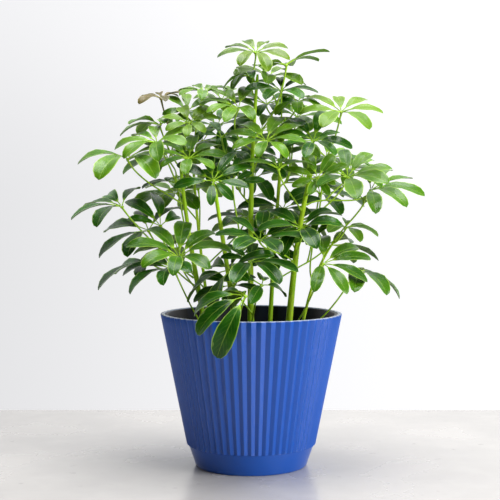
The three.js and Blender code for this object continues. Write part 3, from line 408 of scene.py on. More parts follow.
def soil_height(x, y):
    """Gentle mounds of the potting mix: two crossed waves multiplied, and a slanting wave added."""
    crossed = np.sin(x / MOUND_ALONG + MOUND_STARTS[0]) * np.cos(y / MOUND_DEEP - MOUND_STARTS[1])
    slanting = SLANT_SHARE * np.sin(x / SLANT_ALONG - y / SLANT_DEEP)
    return SOIL_LEVEL + SOIL_BUMP * (crossed + slanting)


def soil_shape():
    """The potting mix: rings of points on its mounds, with crumbs that are a sum of short waves, each
    with its own heading and length, and that fade out at the edge."""
    bottom = INSERT_BOTTOM + INSERT_FLOOR + FIT
    wall = insert_radius(SOIL_LEVEL - 2 * SOIL_BUMP) - INSERT_WALL - FIT
    columns = SOIL_COLUMNS
    shares = np.linspace(*SOIL_SHARES, SOIL_RINGS)
    angles = 2 * np.pi * np.arange(columns) / columns
    x = wall * shares[:, None] * np.cos(angles)
    y = wall * shares[:, None] * np.sin(angles)
    draw = np.random.default_rng(CRUMB_SEED)
    crumbs = np.zeros_like(x)
    for _ in range(CRUMB_WAVES):
        heading = draw.uniform(0, 2 * np.pi)
        length = draw.uniform(*CRUMB_LENGTHS)
        ahead = x * np.cos(heading) + y * np.sin(heading)
        phase = draw.uniform(0, FULL_TURN)
        crumbs += np.sin(ahead * 2 * np.pi / length + phase) * length / CRUMB_FLATNESS
    edge = np.clip((1 - shares[:, None]) / CRUMB_FREE_EDGE, 0, 1)
    z = soil_height(x, y) + crumbs * edge - CRUMB_SINK
    side = [(insert_radius(bottom) - INSERT_WALL - FIT, bottom), (wall, SOIL_LEVEL - 2 * SOIL_BUMP)]
    reach, level = np.array(side).T[..., None]
    rim = np.stack([reach * np.cos(angles), reach * np.sin(angles), level + 0 * angles], -1)
    points = np.concatenate([rim, np.stack([x, y, z], -1)])
    poles = [[0, 0, bottom], [0, 0, z[-1].mean()]]
    return np.concatenate([points.reshape(-1, 3), poles]), closed_faces(len(points), columns)


def tube_shape(points, ways, radii, sides, first=0):
    """A closed tube: rings of points round a path and square to it, each started from the same side."""
    start = np.array([1.0, 0.0, 0.0] if abs(ways[0][0]) < MOSTLY_ALONG_X else [0.0, 1.0, 0.0])
    sides_out = unit(start - ways * (ways @ start)[:, None])
    others = np.cross(ways, sides_out)
    angles = 2 * np.pi * np.arange(sides) / sides
    rings = points[:, None] + radii[:, None, None] * (
        sides_out[:, None] * np.cos(angles)[:, None] + others[:, None] * np.sin(angles)[:, None])
    ends = np.stack([points[0], points[-1]])
    return np.concatenate([rings.reshape(-1, 3), ends]), closed_faces(len(points), sides, first)


def stem_radius(stem, t):
    """Radius of a stem, which narrows evenly to its tip."""
    low, high = STEMS[stem][4:]
    return low + (high - low) * t


def stem_shape(stem):
    """A stem: a tube along its curve, whose radius swells like a bell at each leaf scar."""
    t = np.linspace(0, 1, STEM_RINGS)
    points, ways = along_curve(STEMS[stem][:4], t)
    scars = [row[1] for row in LEAVES.values() if row[0] == stem]
    swelling = sum(np.exp(-((t - scar) / SCAR_LENGTH) ** 2) for scar in scars)
    radii = stem_radius(stem, t) * (1 + SCAR_SWELLING * np.minimum(swelling, 1))
    radii[-1] *= STEM_TIP
    return tube_shape(points, ways, radii, STEM_SIDES)


def leaf_frame(azimuth, tilt):
    """A leaf's own directions: its axis, which leans from straight up by the tilt toward the azimuth, the
    way forward, at a right angle to it on the leaning side, and the way across both."""
    turn, lean = np.radians(azimuth), np.radians(tilt)
    axis = np.array([np.sin(lean) * np.cos(turn), np.sin(lean) * np.sin(turn), np.cos(lean)])
    forward = np.array([np.cos(lean) * np.cos(turn), np.cos(lean) * np.sin(turn), -np.sin(lean)])
    return axis, forward, np.cross(axis, forward)


def leaflet_arcs(number, row, index, lift, swing, size):
    """Each leaflet's arc: the way out from the hub at its bearing, its length, which falls with the
    cosine of the bearing, its slopes at hub and tip, its twist and its half width."""
    _, _, _, azimuth, tilt, count, longest, turn, sweep, rise, droop, age = row
    step = sweep / count
    loose = min(VARIES["bearing"], VARIES["bearing_share"] * step)
    bearing = np.radians(turn + step * index + loose * vary(number, index, 1) + swing)
    length = longest * (1 - BACK_SHORTER + BACK_SHORTER * np.cos(bearing))
    length = length * (1 + VARIES["length"] * vary(number, index, 2)) * size
    start = np.radians(rise + VARIES["rise"] * vary(number, index, 3) + lift)
    end = np.radians(VARIES["end"] * vary(number, index, 4) - droop + lift)
    twist = np.radians(VARIES["twist"] * vary(number, index, 5))
    axis, forward, across = leaf_frame(azimuth, tilt)
    out = np.cos(bearing)[..., None] * forward + np.sin(bearing)[..., None] * across
    half = length * min(HALF_WIDTHS[age], GAP_PLACE * np.sin(GAP_ANGLE * np.radians(step)))
    return {
        "out": out, "length": length, "rise": start, "end": end,
        "twist": twist, "half": half, "axis": axis,
    }


def arc_places(arcs, share):
    """Places on the arcs, measured from the hub, and the ways ahead, up and aside there, turned by the
    twist. An arc is part of a circle: its slope goes evenly from the rise at the hub to the tip's."""
    rise, end, length = arcs["rise"][..., None], arcs["end"][..., None], arcs["length"][..., None]
    share = np.asarray(share, float)
    slope = rise + (end - rise) * share
    radius = length / (end - rise)
    along = radius * (np.sin(slope) - np.sin(rise))
    above = radius * (np.cos(rise) - np.cos(slope))
    out, axis = arcs["out"][..., None, :], arcs["axis"]
    middle = along[..., None] * out + above[..., None] * axis
    way = np.cos(slope)[..., None] * out + np.sin(slope)[..., None] * axis
    up = -np.sin(slope)[..., None] * out + np.cos(slope)[..., None] * axis
    side = np.cross(axis, out) + 0 * up
    twist = arcs["twist"][..., None, None]
    cosine, sine = np.cos(twist), np.sin(twist)
    return middle, way, up * cosine - side * sine, side * cosine + up * sine


def petiole_curve(row, hub, host_curve, start, bow):
    """A petiole's control points: it leaves its stem outward and upward and meets the hub from below,
    both for a third of its reach, and the bow moves its middle sideways."""
    stem, along, _, azimuth, tilt = row[:5]
    axis = leaf_frame(azimuth, tilt)[0]
    begin = min(1, along + start)
    controls = STEMS[stem][:4] if host_curve is None else host_curve
    foot, upward = (value[0] for value in along_curve(controls, begin))
    towards = hub - foot
    out = unit(towards - towards @ upward * upward)
    sideways = np.cross(out, upward)
    first = foot if host_curve is not None else foot + out * (stem_radius(stem, begin) + CLEARANCE)
    last = hub - axis * HUB_DROP
    reach = np.linalg.norm(last - first)
    leaving = unit(out + PETIOLE_LIFT * upward) * PETIOLE_BEND * reach
    arriving = unit(axis + unit(last - first)) * PETIOLE_BEND * reach
    return np.stack([first, first + leaving + sideways * bow, last - arriving + sideways * bow, last])


def node_points(node):
    """The corners of a solid of the frame, in millimetres."""
    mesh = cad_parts[node].data
    points = np.empty(len(mesh.vertices) * 3)
    mesh.vertices.foreach_get("co", points)
    return np.unique(np.round(points.reshape(-1, 3) / MM, 4), axis=0)


def find_changes(name, row, solid, host_curve):
    """How a leaf of the solids gave way to its neighbours: of all changes, the one whose leaflet tips
    meet corners of the solid, and whose petiole has corners of the solid at its radius."""
    number = int(name[5:])
    lift, swing, size = (grid.ravel() for grid in np.meshgrid(LIFTS, SWINGS, SIZES, indexing="ij"))
    arcs = leaflet_arcs(number, row, np.arange(row[5])[:, None], lift, swing, size)
    tips = arc_places(arcs, [1.0])[0][:, :, 0]
    best = None
    for slide in HUB_SLIDES:
        hub = np.array(row[2], float) + (0, slide, 0)
        distance = np.linalg.norm((tips + hub)[:, :, None] - solid[None, None], axis=-1).min(-1)
        choice = distance.argmin(1)
        met = distance.min(1) < SAME_POINT
        if best is None or met.sum() > best[0]:
            best = (met.sum(), hub, choice, met)
    _, hub, choice, met = best
    curves = [petiole_curve(row, hub, host_curve, start, bow) for start in START_STEPS for bow in BOWS]
    inner = np.arange(1, PETIOLE_STEPS) / PETIOLE_STEPS
    misses = []
    for curve in curves:
        centres = along_curve(curve, inner)[0]
        away = np.abs(np.linalg.norm(centres[:, None] - solid[None], axis=-1) - PETIOLE_RADIUS)
        misses.append(np.sort(away, 1)[:, :3].max())
    return hub, lift[choice], swing[choice], size[choice], met, curves[int(np.argmin(misses))]


def blade_outline(u):
    """Half width of a blade, 0 at its foot and tip and 1 at its widest: the root of half a sine wave that
    is drawn toward the tip by a power."""
    return np.sin(np.pi * np.clip(u, 0, 1) ** TOWARD_TIP) ** FULLNESS


def leaflet_shapes(number, row, change, first):
    """Leaflets as closed blades. The section grows from a round stalk into a folded blade, which rises
    from the midrib by the fold's slope less a cube of the way across, with a slow sine wave along the
    margins. Its stations follow half a cosine, so that they lie closer together at foot and tip."""
    hub, lift, swing, size, met = change
    index = np.arange(row[5])
    arcs = leaflet_arcs(number, row, index, lift, swing, size)
    stations = 0.5 - 0.5 * np.cos(np.pi * np.linspace(*BLADE_ENDS, BLADE_STEPS + 1))
    u = np.concatenate([STALK_STATIONS, stations])
    stalk_share = u * (STALK_SHARE - FOOT_SHARE) / -STALK_STATIONS[0]
    share = STALK_SHARE + np.where(u < 0, stalk_share, u * (1 - STALK_SHARE))
    middle, _, up, side = arc_places(arcs, share)
    blade = np.clip(u / BLADE_OPENS, 0, 1)
    rib = STALK_HALF * (1 - RIB_NARROWS * np.clip(u, 0, 1))
    half = np.hypot(rib, arcs["half"][:, None] * blade_outline(u))
    thick = STALK_HALF + (BLADE_HALF - STALK_HALF) * blade
    thick = thick * np.where(u > TIP_STARTS, TIP_THINNER, 1)
    across, above = SECTION_ACROSS, SECTION_ABOVE
    folded = np.abs(across) - FOLD_FLATTENS * np.abs(across) ** 3
    fold = np.tan(np.radians(FOLD)) * blade[None, :, None] * folded
    phase = FULL_TURN * vary(number, index, 6)[:, None]
    wave = WAVE * np.sin(2 * np.pi * WAVES_ALONG * u + phase) * blade
    lifted = fold + wave[..., None] * np.sign(across) * across ** 2
    points = (
        middle[:, :, None]
        + side[:, :, None] * (half[..., None] * across)[..., None]
        + up[:, :, None] * (half[..., None] * lifted + thick[:, None] * above)[..., None]
    )
    tips = arc_places(arcs, [1.0])[0]
    rings = points.reshape(len(index), -1, 3)
    corners = np.concatenate([rings, middle[:, :1], tips], 1)[met] + hub
    ring = np.array(ring_faces(len(u), len(across)))[:, ::-1]
    last = (len(u) - 1) * len(across)
    pole = last + len(across)
    ends = np.array(cap_faces(np.arange(len(across)), pole, True)
                    + cap_faces(last + np.arange(len(across)), pole + 1, False))
    start = first + corners.shape[1] * np.arange(len(corners))[:, None, None]
    faces = (ring + start).reshape(-1, 4).tolist() + (ends + start).reshape(-1, 3).tolist()
    width = np.append(np.tile(across * 0.5 + 0.5, len(u)), [0.5, 0.5])
    along = np.append(np.repeat(np.clip(u, 0, 1), len(across)), [0, 1])
    under = np.append(np.tile(SECTION_UNDER, len(u)), [0.5, 0.5])
    draws = np.repeat(0.5 + 0.5 * vary(number, index[met], 7), corners.shape[1])
    blade_places = np.tile(np.stack([width, along], 1), (len(corners), 1))
    facts = np.stack([np.tile(under, len(corners)), draws], 1)
    return corners.reshape(-1, 3), faces, blade_places, facts


def leaf_shape(name, row, solid, host_curve, first):
    """A whole leaf: its petiole, whose radius flares like a bell at both ends, the small hub that the
    leaflets meet in, and the leaflets. With it come the petiole's curve and the points' values for the
    material: places on the blade, and facts, which are the underside and a draw."""
    number = int(name[5:])
    hub, lift, swing, size, met, curve = find_changes(name, row, solid, host_curve)
    axis = leaf_frame(row[3], row[4])[0]
    t = np.linspace(0, 1, PETIOLE_RINGS)
    points, ways = along_curve(curve, t)
    at_hub, at_foot = np.exp(-((t - 1) / FLARE_LENGTH) ** 2), np.exp(-(t / FLARE_LENGTH) ** 2)
    flare = 1 + PETIOLE_FLARE * at_hub + PETIOLE_FLARE * at_foot
    stalk, stalk_faces = tube_shape(points, ways, PETIOLE_LOOKS * flare, PETIOLE_SIDES, first)
    radius = min(HUB_RADIUS, HUB_SHARE * row[6])
    heights = np.array([-HUB_DROP, -1.2, 0.0, 0.9, 1.1])
    widths = np.array([0.9, radius * 0.75, radius, radius * 0.7, 0.15])
    places, axes = hub + axis * heights[:, None], np.tile(axis, (len(heights), 1))
    crown, crown_faces = tube_shape(places, axes, widths, HUB_SIDES, first + len(stalk))
    change = (hub, lift, swing, size, met)
    start = first + len(stalk) + len(crown)
    blades, blade_faces, blade_places, blade_facts = leaflet_shapes(number, row, change, start)
    stem_places = np.tile([0.5, 0.0], (len(stalk) + len(crown), 1))
    stalk_facts = np.tile([0.5, 0.5 + 0.5 * vary(number, 0, 8)], (len(stalk), 1))
    crown_facts = np.tile([0.5, 0.5], (len(crown), 1))
    return {
        "points": np.concatenate([stalk, crown, blades]),
        "faces": stalk_faces + crown_faces + blade_faces,
        "blade": np.concatenate([stem_places, blade_places]),
        "facts": np.concatenate([stalk_facts, crown_facts, blade_facts]),
        "curve": curve,
    }


def colour(red, green, blue):
    """A colour written as it shows on a screen, from 0 to 255, turned into shares of light by the
    screen's curve: a straight start, then a power."""
    shown = np.array([red, green, blue]) / 255
    light = np.where(shown <= 0.04045, shown / 12.92, ((shown + 0.055) / 1.055) ** 2.4)
    return (*light.tolist(), 1.0)


class Finish:
    """A material and short ways to wire it."""

    def __init__(self, name, roughness, **sockets):
        """A plain material; the sockets' names have an underscore where the shader's have a space."""
        self.material = bpy.data.materials.new(name)
        self.material.use_nodes = True
        self.tree = self.material.node_tree
        self.shader = self.tree.nodes["Principled BSDF"]
        self.shader.inputs["Roughness"].default_value = roughness
        for socket, value in sockets.items():
            self.shader.inputs[socket.replace("_", " ")].default_value = value

    def wire(self, value, socket):
        """Links the socket if the value comes from a node, and sets it if the value is plain."""
        if hasattr(value, "is_linked"):
            self.tree.links.new(value, socket)
        else:
            socket.default_value = value

    def node(self, kind, settings=(), **values):
        """A new node with its settings; i0, i1 and so on are its inputs by number, others by name."""
        node = self.tree.nodes.new(kind)
        for key, value in settings:
            setattr(node, key, value)
        for key, value in values.items():
            self.wire(value, node.inputs[int(key[1:]) if key[1:].isdigit() else key])
        return node

    def show(self, socket, value):
        """The value, wired to the shader."""
        self.wire(value, self.shader.inputs[socket])

    def sums(self, operation, one, two=0.0, three=0.0):
        """One sum of up to three numbers."""
        node = self.node("ShaderNodeMath", [("operation", operation)], i0=one, i1=two, i2=three)
        return node.outputs[0]

    def times(self, one, two):
        """One number times the other."""
        return self.sums("MULTIPLY", one, two)

    def blend(self, share, one, two, mode="MIX"):
        """A colour between two, or the first changed by the second, by a share."""
        node = self.node("ShaderNodeMix", [("data_type", "RGBA"), ("blend_type", mode)])
        self.wire(share, node.inputs[0])
        self.wire(one, node.inputs[6])
        self.wire(two, node.inputs[7])
        return node.outputs[2]

    def spread(self, value, low, high, to_low=0.0, to_high=1.0):
        """A smooth step: to_low where the value is low, to_high where it is high."""
        node = self.node("ShaderNodeMapRange", [("interpolation_type", "SMOOTHSTEP")],
                         i0=value, i1=low, i2=high, i3=to_low, i4=to_high)
        return node.outputs[0]

    def place(self):
        """Places on the piece, in metres."""
        return self.node("ShaderNodeTexCoord").outputs["Object"]

    def part(self, axis, place=None):
        """One of the three parts of a place: 0, 1 or 2 for X, Y or Z."""
        return self.node("ShaderNodeSeparateXYZ", i0=place or self.place()).outputs[axis]

    def grain(self, scale, detail=3.0, stretch=(1, 1, 1)):
        """Cloudy noise; a stretch under 1 draws it out along that axis."""
        mapping = self.node("ShaderNodeMapping", i0=self.place())
        mapping.inputs["Scale"].default_value = stretch
        noise = self.node("ShaderNodeTexNoise", i0=mapping.outputs[0], Scale=scale, Detail=detail)
        return noise.outputs[0]

    def cells(self, scale):
        """How far a place is from the middle of its cell."""
        return self.node("ShaderNodeTexVoronoi", i0=self.place(), Scale=scale).outputs[0]

    def bump(self, height, strength, distance):
        """Fine relief, in the light only."""
        node = self.node("ShaderNodeBump", Height=height, Strength=strength, Distance=distance)
        self.show("Normal", node.outputs[0])


# Looks of the leaves. Heights are metres above the pot's base: from the first to the second the green
# deepens with painted shade under the crown, further down, where leaflets hang below the rim and out of
# that shade, the painted shade fades again, and toward the top painted shade tones down the strong light
# there. Veins: how many, how slanting, how strong. Then where on a leaflet the stalk's green ends, which
# share counts as underside, and the relief.
NOISE_RANGE = (0.35, 0.68)
TONE_BY_NOISE = 0.55
TONE_BY_DRAW = 0.45
CROWN_SHADE_HEIGHTS = (0.40, 0.20)
CROWN_SHADE_FADES_BELOW = (0.14, 0.20, 0.2, 1.0)
CROWN_SHADE_TINT = colour(176, 204, 150)
PAINTED_TOP_SHADE = (0.39, 0.45)
PAINTED_TOP_SHADE_TINT = colour(238, 216, 232)
SIDE_VEINS = 9.0
VEIN_SLANT = 2.6
VEIN_WIDTH = 0.22
VEIN_FADES = (0.9, 0.3)
VEIN_SHOWS = 0.14
RIB_AT_FOOT = 0.11
RIB_TAPER = -0.05
RIB_CORE = 0.02
RIB_SHOWS = 0.3
RIB_SHOWS_BELOW = 0.6
MARGIN = (0.86, 0.97)
MARGIN_SHOWS = 0.7
STALK_ENDS = 0.13
UNDERSIDE = (0.55, 0.75)
UNDERSIDE_MATT = 0.22
MATT_BY_NOISE = 0.16
MATT_START = 0.06
RIB_RELIEF = -1.0
VEIN_RELIEF = -0.35
GRAIN_RELIEF = 0.35


def leaf_finish(name, blade, pale, vein, under, stalk, shine):
    """Leaf: the blade's green drifts between two tones, by cloudy noise and from leaflet to leaflet. Low
    in the plant it is deepened with painted shade under the crown, less so below the pot's rim where the
    leaflets hang out of that shade, and at the top it is dulled a little by painted shade that tones down
    the strong light there. The midrib, fine side veins and the thin margin are paler, the underside is
    matt and pale, the stalks are yellow-green."""
    leaf = Finish(
        name, shine, Specular_IOR_Level=0.22, Coat_Weight=0.18, Coat_Roughness=0.13,
        Subsurface_Weight=0.12, Subsurface_Radius=(0.0012, 0.0018, 0.0006), Subsurface_Scale=1.0,
    )
    place = leaf.node("ShaderNodeUVMap", [("uv_map", "blade")]).outputs[0]
    facts = leaf.node("ShaderNodeUVMap", [("uv_map", "facts")]).outputs[0]
    across = leaf.sums("ABSOLUTE", leaf.sums("MULTIPLY_ADD", leaf.part(0, place), 2.0, -1.0))
    along = leaf.part(1, place)
    underside, draw = leaf.spread(leaf.part(0, facts), *UNDERSIDE), leaf.part(1, facts)

    drift = leaf.spread(leaf.grain(45.0, detail=2.0), *NOISE_RANGE)
    tone = leaf.sums("ADD", leaf.times(drift, TONE_BY_NOISE), leaf.times(draw, TONE_BY_DRAW))
    green = leaf.blend(tone, blade, pale)
    height = leaf.part(2)
    # Painted shade under the crown: the green deepens low in the plant, and less so below the rim.
    crown_shade = leaf.times(leaf.spread(height, *CROWN_SHADE_HEIGHTS), leaf.spread(height, *CROWN_SHADE_FADES_BELOW))
    green = leaf.blend(crown_shade, green, leaf.blend(1.0, green, CROWN_SHADE_TINT, "MULTIPLY"))
    # Painted shade on the top leaves, toning down the strong light that falls there.
    green = leaf.blend(leaf.spread(height, *PAINTED_TOP_SHADE), green, leaf.blend(1.0, green, PAINTED_TOP_SHADE_TINT, "MULTIPLY"))

    veins = leaf.sums("SUBTRACT", leaf.times(along, SIDE_VEINS), leaf.times(across, VEIN_SLANT))
    veins = leaf.sums("ABSOLUTE", leaf.sums("SINE", leaf.times(veins, HALF_TURN)))
    side_vein = leaf.times(leaf.spread(veins, VEIN_WIDTH, 0.0), leaf.spread(across, *VEIN_FADES))
    rib_width = leaf.sums("MULTIPLY_ADD", along, RIB_TAPER, RIB_AT_FOOT)
    midrib = leaf.spread(across, rib_width, RIB_CORE)
    margin = leaf.spread(across, *MARGIN)
    for line, shows in ((side_vein, VEIN_SHOWS), (midrib, RIB_SHOWS), (margin, MARGIN_SHOWS)):
        green = leaf.blend(leaf.times(line, shows), green, vein)
    below = leaf.blend(leaf.times(midrib, RIB_SHOWS_BELOW), under, vein)
    green = leaf.blend(underside, green, below)
    leaf.show("Base Color", leaf.blend(leaf.spread(along, STALK_ENDS, 0.0), green, stalk))

    matt = leaf.grain(160.0, detail=2.0)
    matt = leaf.sums("MULTIPLY_ADD", matt, MATT_BY_NOISE, shine - MATT_START)
    leaf.show("Roughness", leaf.sums("ADD", matt, leaf.times(underside, UNDERSIDE_MATT)))
    relief = leaf.sums("ADD", leaf.times(midrib, RIB_RELIEF), leaf.times(side_vein, VEIN_RELIEF))
    relief = leaf.sums("ADD", relief, leaf.times(leaf.grain(260.0), GRAIN_RELIEF))
    leaf.bump(relief, strength=0.5, distance=0.0004)
    return leaf.material


# The rim's painted highlight, which stands for its glossy reflection: the heights that it grows between,
# in metres, and how much it shows.
RIM_HIGHLIGHT_EDGE = (0.1668, 0.1680)
RIM_HIGHLIGHT_SHOWS = 0.85


def pot_finish():
    """Moulded plastic: even blue with a faint drift, a fine grain, and a painted highlight along the
    rim's top edge for its glossy reflection.
    """
    pot = Finish("moulded_blue", 0.3, Specular_IOR_Level=0.6)
    drift = pot.grain(9.0)
    blue = pot.blend(drift, colour(5, 78, 178), colour(14, 87, 188))
    # Painted highlight: a pale line along the top of the rim, standing for its glossy reflection.
    rim = pot.spread(pot.part(2), *RIM_HIGHLIGHT_EDGE)
    pot.show("Base Color", pot.blend(pot.times(rim, RIM_HIGHLIGHT_SHOWS), blue, colour(206, 217, 240)))
    pot.show("Roughness", pot.sums("MULTIPLY_ADD", pot.grain(120.0), 0.12, 0.25))
    pot.bump(pot.grain(900.0), strength=0.12, distance=0.0002)
    return pot.material


def insert_finish():
    """Black plastic with a soft satin face and faint upright streaks of painted bluish reflection."""
    insert = Finish("satin_black", 0.4, Specular_IOR_Level=0.2)
    reflection_streak = insert.grain(60.0, detail=2.0, stretch=(1, 1, 0.08))
    # Painted reflection: bluish upright streaks on the black, which also set the roughness.
    black = insert.blend(insert.spread(reflection_streak, 0.4, 0.62), colour(4, 5, 9), colour(20, 25, 42))
    insert.show("Base Color", black)
    insert.show("Roughness", insert.sums("MULTIPLY_ADD", reflection_streak, 0.2, 0.32))
    insert.bump(insert.grain(500.0), strength=0.15, distance=0.0002)
    return insert.material


def soil_finish():
    """Damp potting mix: dark crumbs of several browns, with patches of small pale grains."""
    soil = Finish("damp_mix", 0.9, Specular_IOR_Level=0.3)
    crumbs = soil.grain(220.0, detail=8.0)
    brown = soil.blend(soil.spread(crumbs, 0.35, 0.68), colour(24, 17, 13), colour(74, 55, 42))
    grains = soil.spread(soil.cells(170.0), 0.16, 0.08)
    patches = soil.spread(soil.grain(60.0), 0.58, 0.7)
    soil.show("Base Color", soil.blend(soil.times(grains, patches), brown, colour(178, 160, 132)))
    soil.bump(crumbs, strength=0.9, distance=0.002)
    return soil.material


# Bark: the heights that it ages between, in metres, and how much age and pores show.
OLD_BARK = (0.2, 0.13)
OLD_SHOWS = 0.25
PORE_SHOWS = 0.4
PORE_RELIEF = 0.6


def stem_finish():
    """Green bark: two bright greens that drift along the stem, a little olive near the mix, with small
    pale pores."""
    stem = Finish(
        "green_bark", 0.5, Specular_IOR_Level=0.3,
        Subsurface_Weight=0.2, Subsurface_Radius=(0.002, 0.0026, 0.0006), Subsurface_Scale=1.0,
    )
    drift = stem.spread(stem.grain(38.0, detail=4.0, stretch=(1, 1, 0.4)), 0.3, 0.7)
    green = stem.blend(drift, colour(160, 214, 16), colour(202, 240, 48))
    old = stem.times(stem.spread(stem.part(2), *OLD_BARK), OLD_SHOWS)
    green = stem.blend(old, green, colour(84, 92, 46))
    pores = stem.spread(stem.cells(260.0), 0.2, 0.08)
    stem.show("Base Color", stem.blend(stem.times(pores, PORE_SHOWS), green, colour(196, 200, 150)))
    relief = stem.sums("ADD", stem.grain(300.0, detail=4.0), stem.times(pores, PORE_RELIEF))
    stem.bump(relief, strength=0.35, distance=0.0006)
    return stem.material


# Leaf materials: name, blade, its paler tone, veins and margin, underside, stalk, and roughness.
LEAF_LOOKS = {
    "dark": ("leaf_dark_green", (22, 76, 4), (66, 132, 14), (168, 210, 80), (92, 126, 50),
             (160, 206, 44), 0.3),
    "fresh": ("leaf_fresh_green", (61, 117, 6), (114, 162, 20), (180, 218, 84), (116, 152, 58),
              (168, 212, 50), 0.32),
    "young": ("leaf_young_green", (88, 134, 6), (122, 162, 20), (176, 210, 78), (140, 176, 64),
              (166, 206, 60), 0.42),
    "bronze": ("leaf_new_bronze", (84, 84, 34), (128, 112, 62), (168, 150, 100), (120, 112, 66),
               (150, 140, 70), 0.4),
}
BRONZE_LEAF = "leaf_10"
leaf_finishes = {
    look: leaf_finish(name, *[colour(*shade) for shade in shades], shine)
    for look, (name, *shades, shine) in LEAF_LOOKS.items()
}

make_piece("pleated_pot", *pot_shape(), pot_finish(), "pot_blue", ["outer_pot"], sharp=24)
make_piece("hanging_insert", *insert_shape(), insert_finish(), "insert_black", ["inner_pot"], sharp=50)
make_piece("potting_mix", *soil_shape(), soil_finish(), "potting_mix", ["soil"])
bark = stem_finish()
for stem_name in STEMS:
    make_piece(f"{stem_name}_bark", *stem_shape(stem_name), bark, "stem_green", [stem_name], sharp=50)

# A companion leaf joins the foliage of the leaf that it grows from.
curves = {}
gathered = {}
for leaf_name, leaf_row in LEAVES.items():
    grows_on = leaf_row[0]
    node_name = grows_on if grows_on in LEAVES else leaf_name
    leaves = gathered.setdefault(node_name, [])
    first_point = sum(len(leaf["points"]) for leaf in leaves)
    solid, host_curve = node_points(node_name), curves.get(grows_on)
    leaves.append(leaf_shape(leaf_name, leaf_row, solid, host_curve, first_point))
    curves[leaf_name] = leaves[-1]["curve"]
for node_name, leaves in gathered.items():
    age = LEAVES[node_name][-1]
    make_piece(
        f"foliage_{node_name[5:]}",
        np.concatenate([leaf["points"] for leaf in leaves]),
        sum((leaf["faces"] for leaf in leaves), []),
        leaf_finishes["bronze" if node_name == BRONZE_LEAF else age],
        f"leaf_{age}",
        [node_name],
        sharp=75,
        uvs=[(uv, np.concatenate([leaf[uv] for leaf in leaves])) for uv in ("blade", "facts")],
    )


def flat_stage(name, corners, finish):
    """A flat four-cornered piece of the stage, in millimetres."""
    mesh = bpy.data.meshes.new(name)
    mesh.from_pydata((np.array(corners, float) * MM).tolist(), [], [(0, 1, 2, 3)])
    mesh.materials.append(finish)
    piece = bpy.data.objects.new(name, mesh)
    bpy.context.collection.objects.link(piece)


def table_finish():
    """Pale honed stone: light grey with soft cloudy patches and a few specks, smooth enough to mirror
    what stands on it."""
    table = Finish("pale_stone", 0.24, Specular_IOR_Level=0.5)
    cloud = table.spread(table.grain(9.0, detail=6.0), 0.35, 0.7)
    grey = table.blend(cloud, colour(187, 184, 181), colour(198, 195, 192))
    specks = table.spread(table.grain(60.0, detail=6.0), 0.66, 0.74)
    table.show("Base Color", table.blend(table.times(specks, 0.3), grey, colour(120, 116, 112)))
    table.show("Roughness", table.sums("MULTIPLY_ADD", cloud, 0.1, 0.2))
    return table.material


# The backdrop's glow, which is painted light that grows toward the window side: where it grows, in
# metres, and from how much to how much.
GLOW_ASIDE = (-1.46, 1.07)
GLOW_FROM_LEFT = (0.71, 0.99)
GLOW_UPWARD = (0.21, 1.18)
GLOW_GAIN = 0.12


def wall_finish():
    """Matt white with painted light: a glow of its own, which grows smoothly to the right and a little
    upward.
    """
    wall = Finish("white_wall", 0.9, Specular_IOR_Level=0.0, Emission_Color=colour(253, 253, 255))
    white = wall.blend(wall.grain(0.8, detail=2.0), colour(120, 121, 123), colour(124, 125, 127))
    wall.show("Base Color", white)
    # Painted light: the backdrop glows brighter to the right and a little upward.
    to_right = wall.spread(wall.part(0), *GLOW_ASIDE, *GLOW_FROM_LEFT)
    upward = wall.spread(wall.part(2), *GLOW_UPWARD, 0.0, GLOW_GAIN)
    wall.show("Emission Strength", wall.sums("ADD", to_right, upward))
    return wall.material


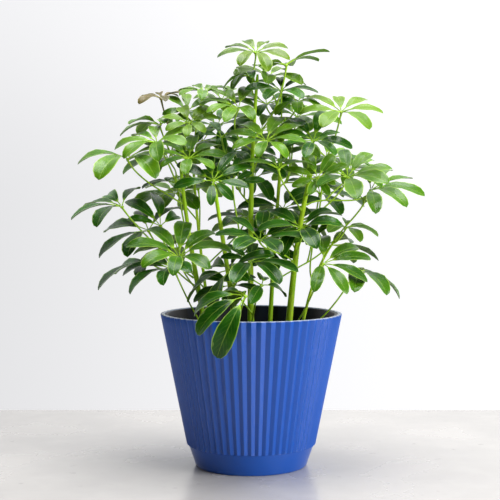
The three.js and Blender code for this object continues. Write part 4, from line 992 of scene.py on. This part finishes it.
# The stage, in millimetres: how far its two flat pieces reach.
TABLE_HALF = 2500
TABLE_BACK = 336.0
WALL_HALF = 9000
WALL_PLACE = 3000.0
WALL_FOOT = -1500
WALL_TOP = 6500
flat_stage("floor", [
    (-TABLE_HALF, -TABLE_HALF, 0), (TABLE_HALF, -TABLE_HALF, 0),
    (TABLE_HALF, TABLE_BACK, 0), (-TABLE_HALF, TABLE_BACK, 0),
], table_finish())
flat_stage("wall", [
    (-WALL_HALF, WALL_PLACE, WALL_FOOT), (WALL_HALF, WALL_PLACE, WALL_FOOT),
    (WALL_HALF, WALL_PLACE, WALL_TOP), (-WALL_HALF, WALL_PLACE, WALL_TOP),
], wall_finish())


def soft_light(name, place, aim, width, height, power, tint):
    """A lit rectangle that looks from its place to its aim, in millimetres; the power is in watts."""
    lamp = bpy.data.lights.new(name, "AREA")
    lamp.shape = "RECTANGLE"
    lamp.size, lamp.size_y = width * MM, height * MM
    lamp.energy = power
    lamp.color = tint
    light = bpy.data.objects.new(name, lamp)
    back = Vector(place) - Vector(aim)
    light.location = Vector(place) * MM
    light.rotation_euler = back.to_track_quat("Z", "Y").to_euler()
    bpy.context.collection.objects.link(light)


soft_light("window", place=(1700, -1150, 1000), aim=(0, 0, 230), width=1300, height=1500,
           power=54, tint=(1.0, 0.985, 0.96))
soft_light("ceiling", place=(0, 20, 1750), aim=(0, 0, 280), width=1100, height=1100,
           power=32, tint=(1.0, 1.0, 1.0))

world = bpy.data.worlds.new("studio")
world.use_nodes = True
room_light = world.node_tree.nodes["Background"].inputs
room_light["Color"].default_value = (0.93, 0.95, 1.0, 1.0)
room_light["Strength"].default_value = 0.045
bpy.context.scene.world = world
bpy.context.scene.view_settings.view_transform = "Standard"

# The camera stands 1.31 m in front of the pot's middle, 13 cm above the rim, and looks slightly down.
# The focal length is in pixels of a picture that is PICTURE_SIDE pixels wide.
CAMERA_DISTANCE = 1313.5
CAMERA_HEIGHT = 294.2
CAMERA_DIP = 0.0433
CAMERA_ASIDE = -1.3
CAMERA_FOCAL = 1194.35
CAMERA_FAR = 20
PICTURE_SIDE = 500
SENSOR_SIDE = 36.0
lens = bpy.data.cameras.new("photo_camera")
lens.sensor_width = SENSOR_SIDE
lens.lens = CAMERA_FOCAL * SENSOR_SIDE / PICTURE_SIDE
lens.clip_end = CAMERA_FAR
camera = bpy.data.objects.new("photo_camera", lens)
camera.location = (CAMERA_ASIDE * MM, -CAMERA_DISTANCE * MM, CAMERA_HEIGHT * MM)
camera.rotation_euler = (np.pi / 2 - CAMERA_DIP, 0, 0)
bpy.context.collection.objects.link(camera)
bpy.context.scene.camera = camera
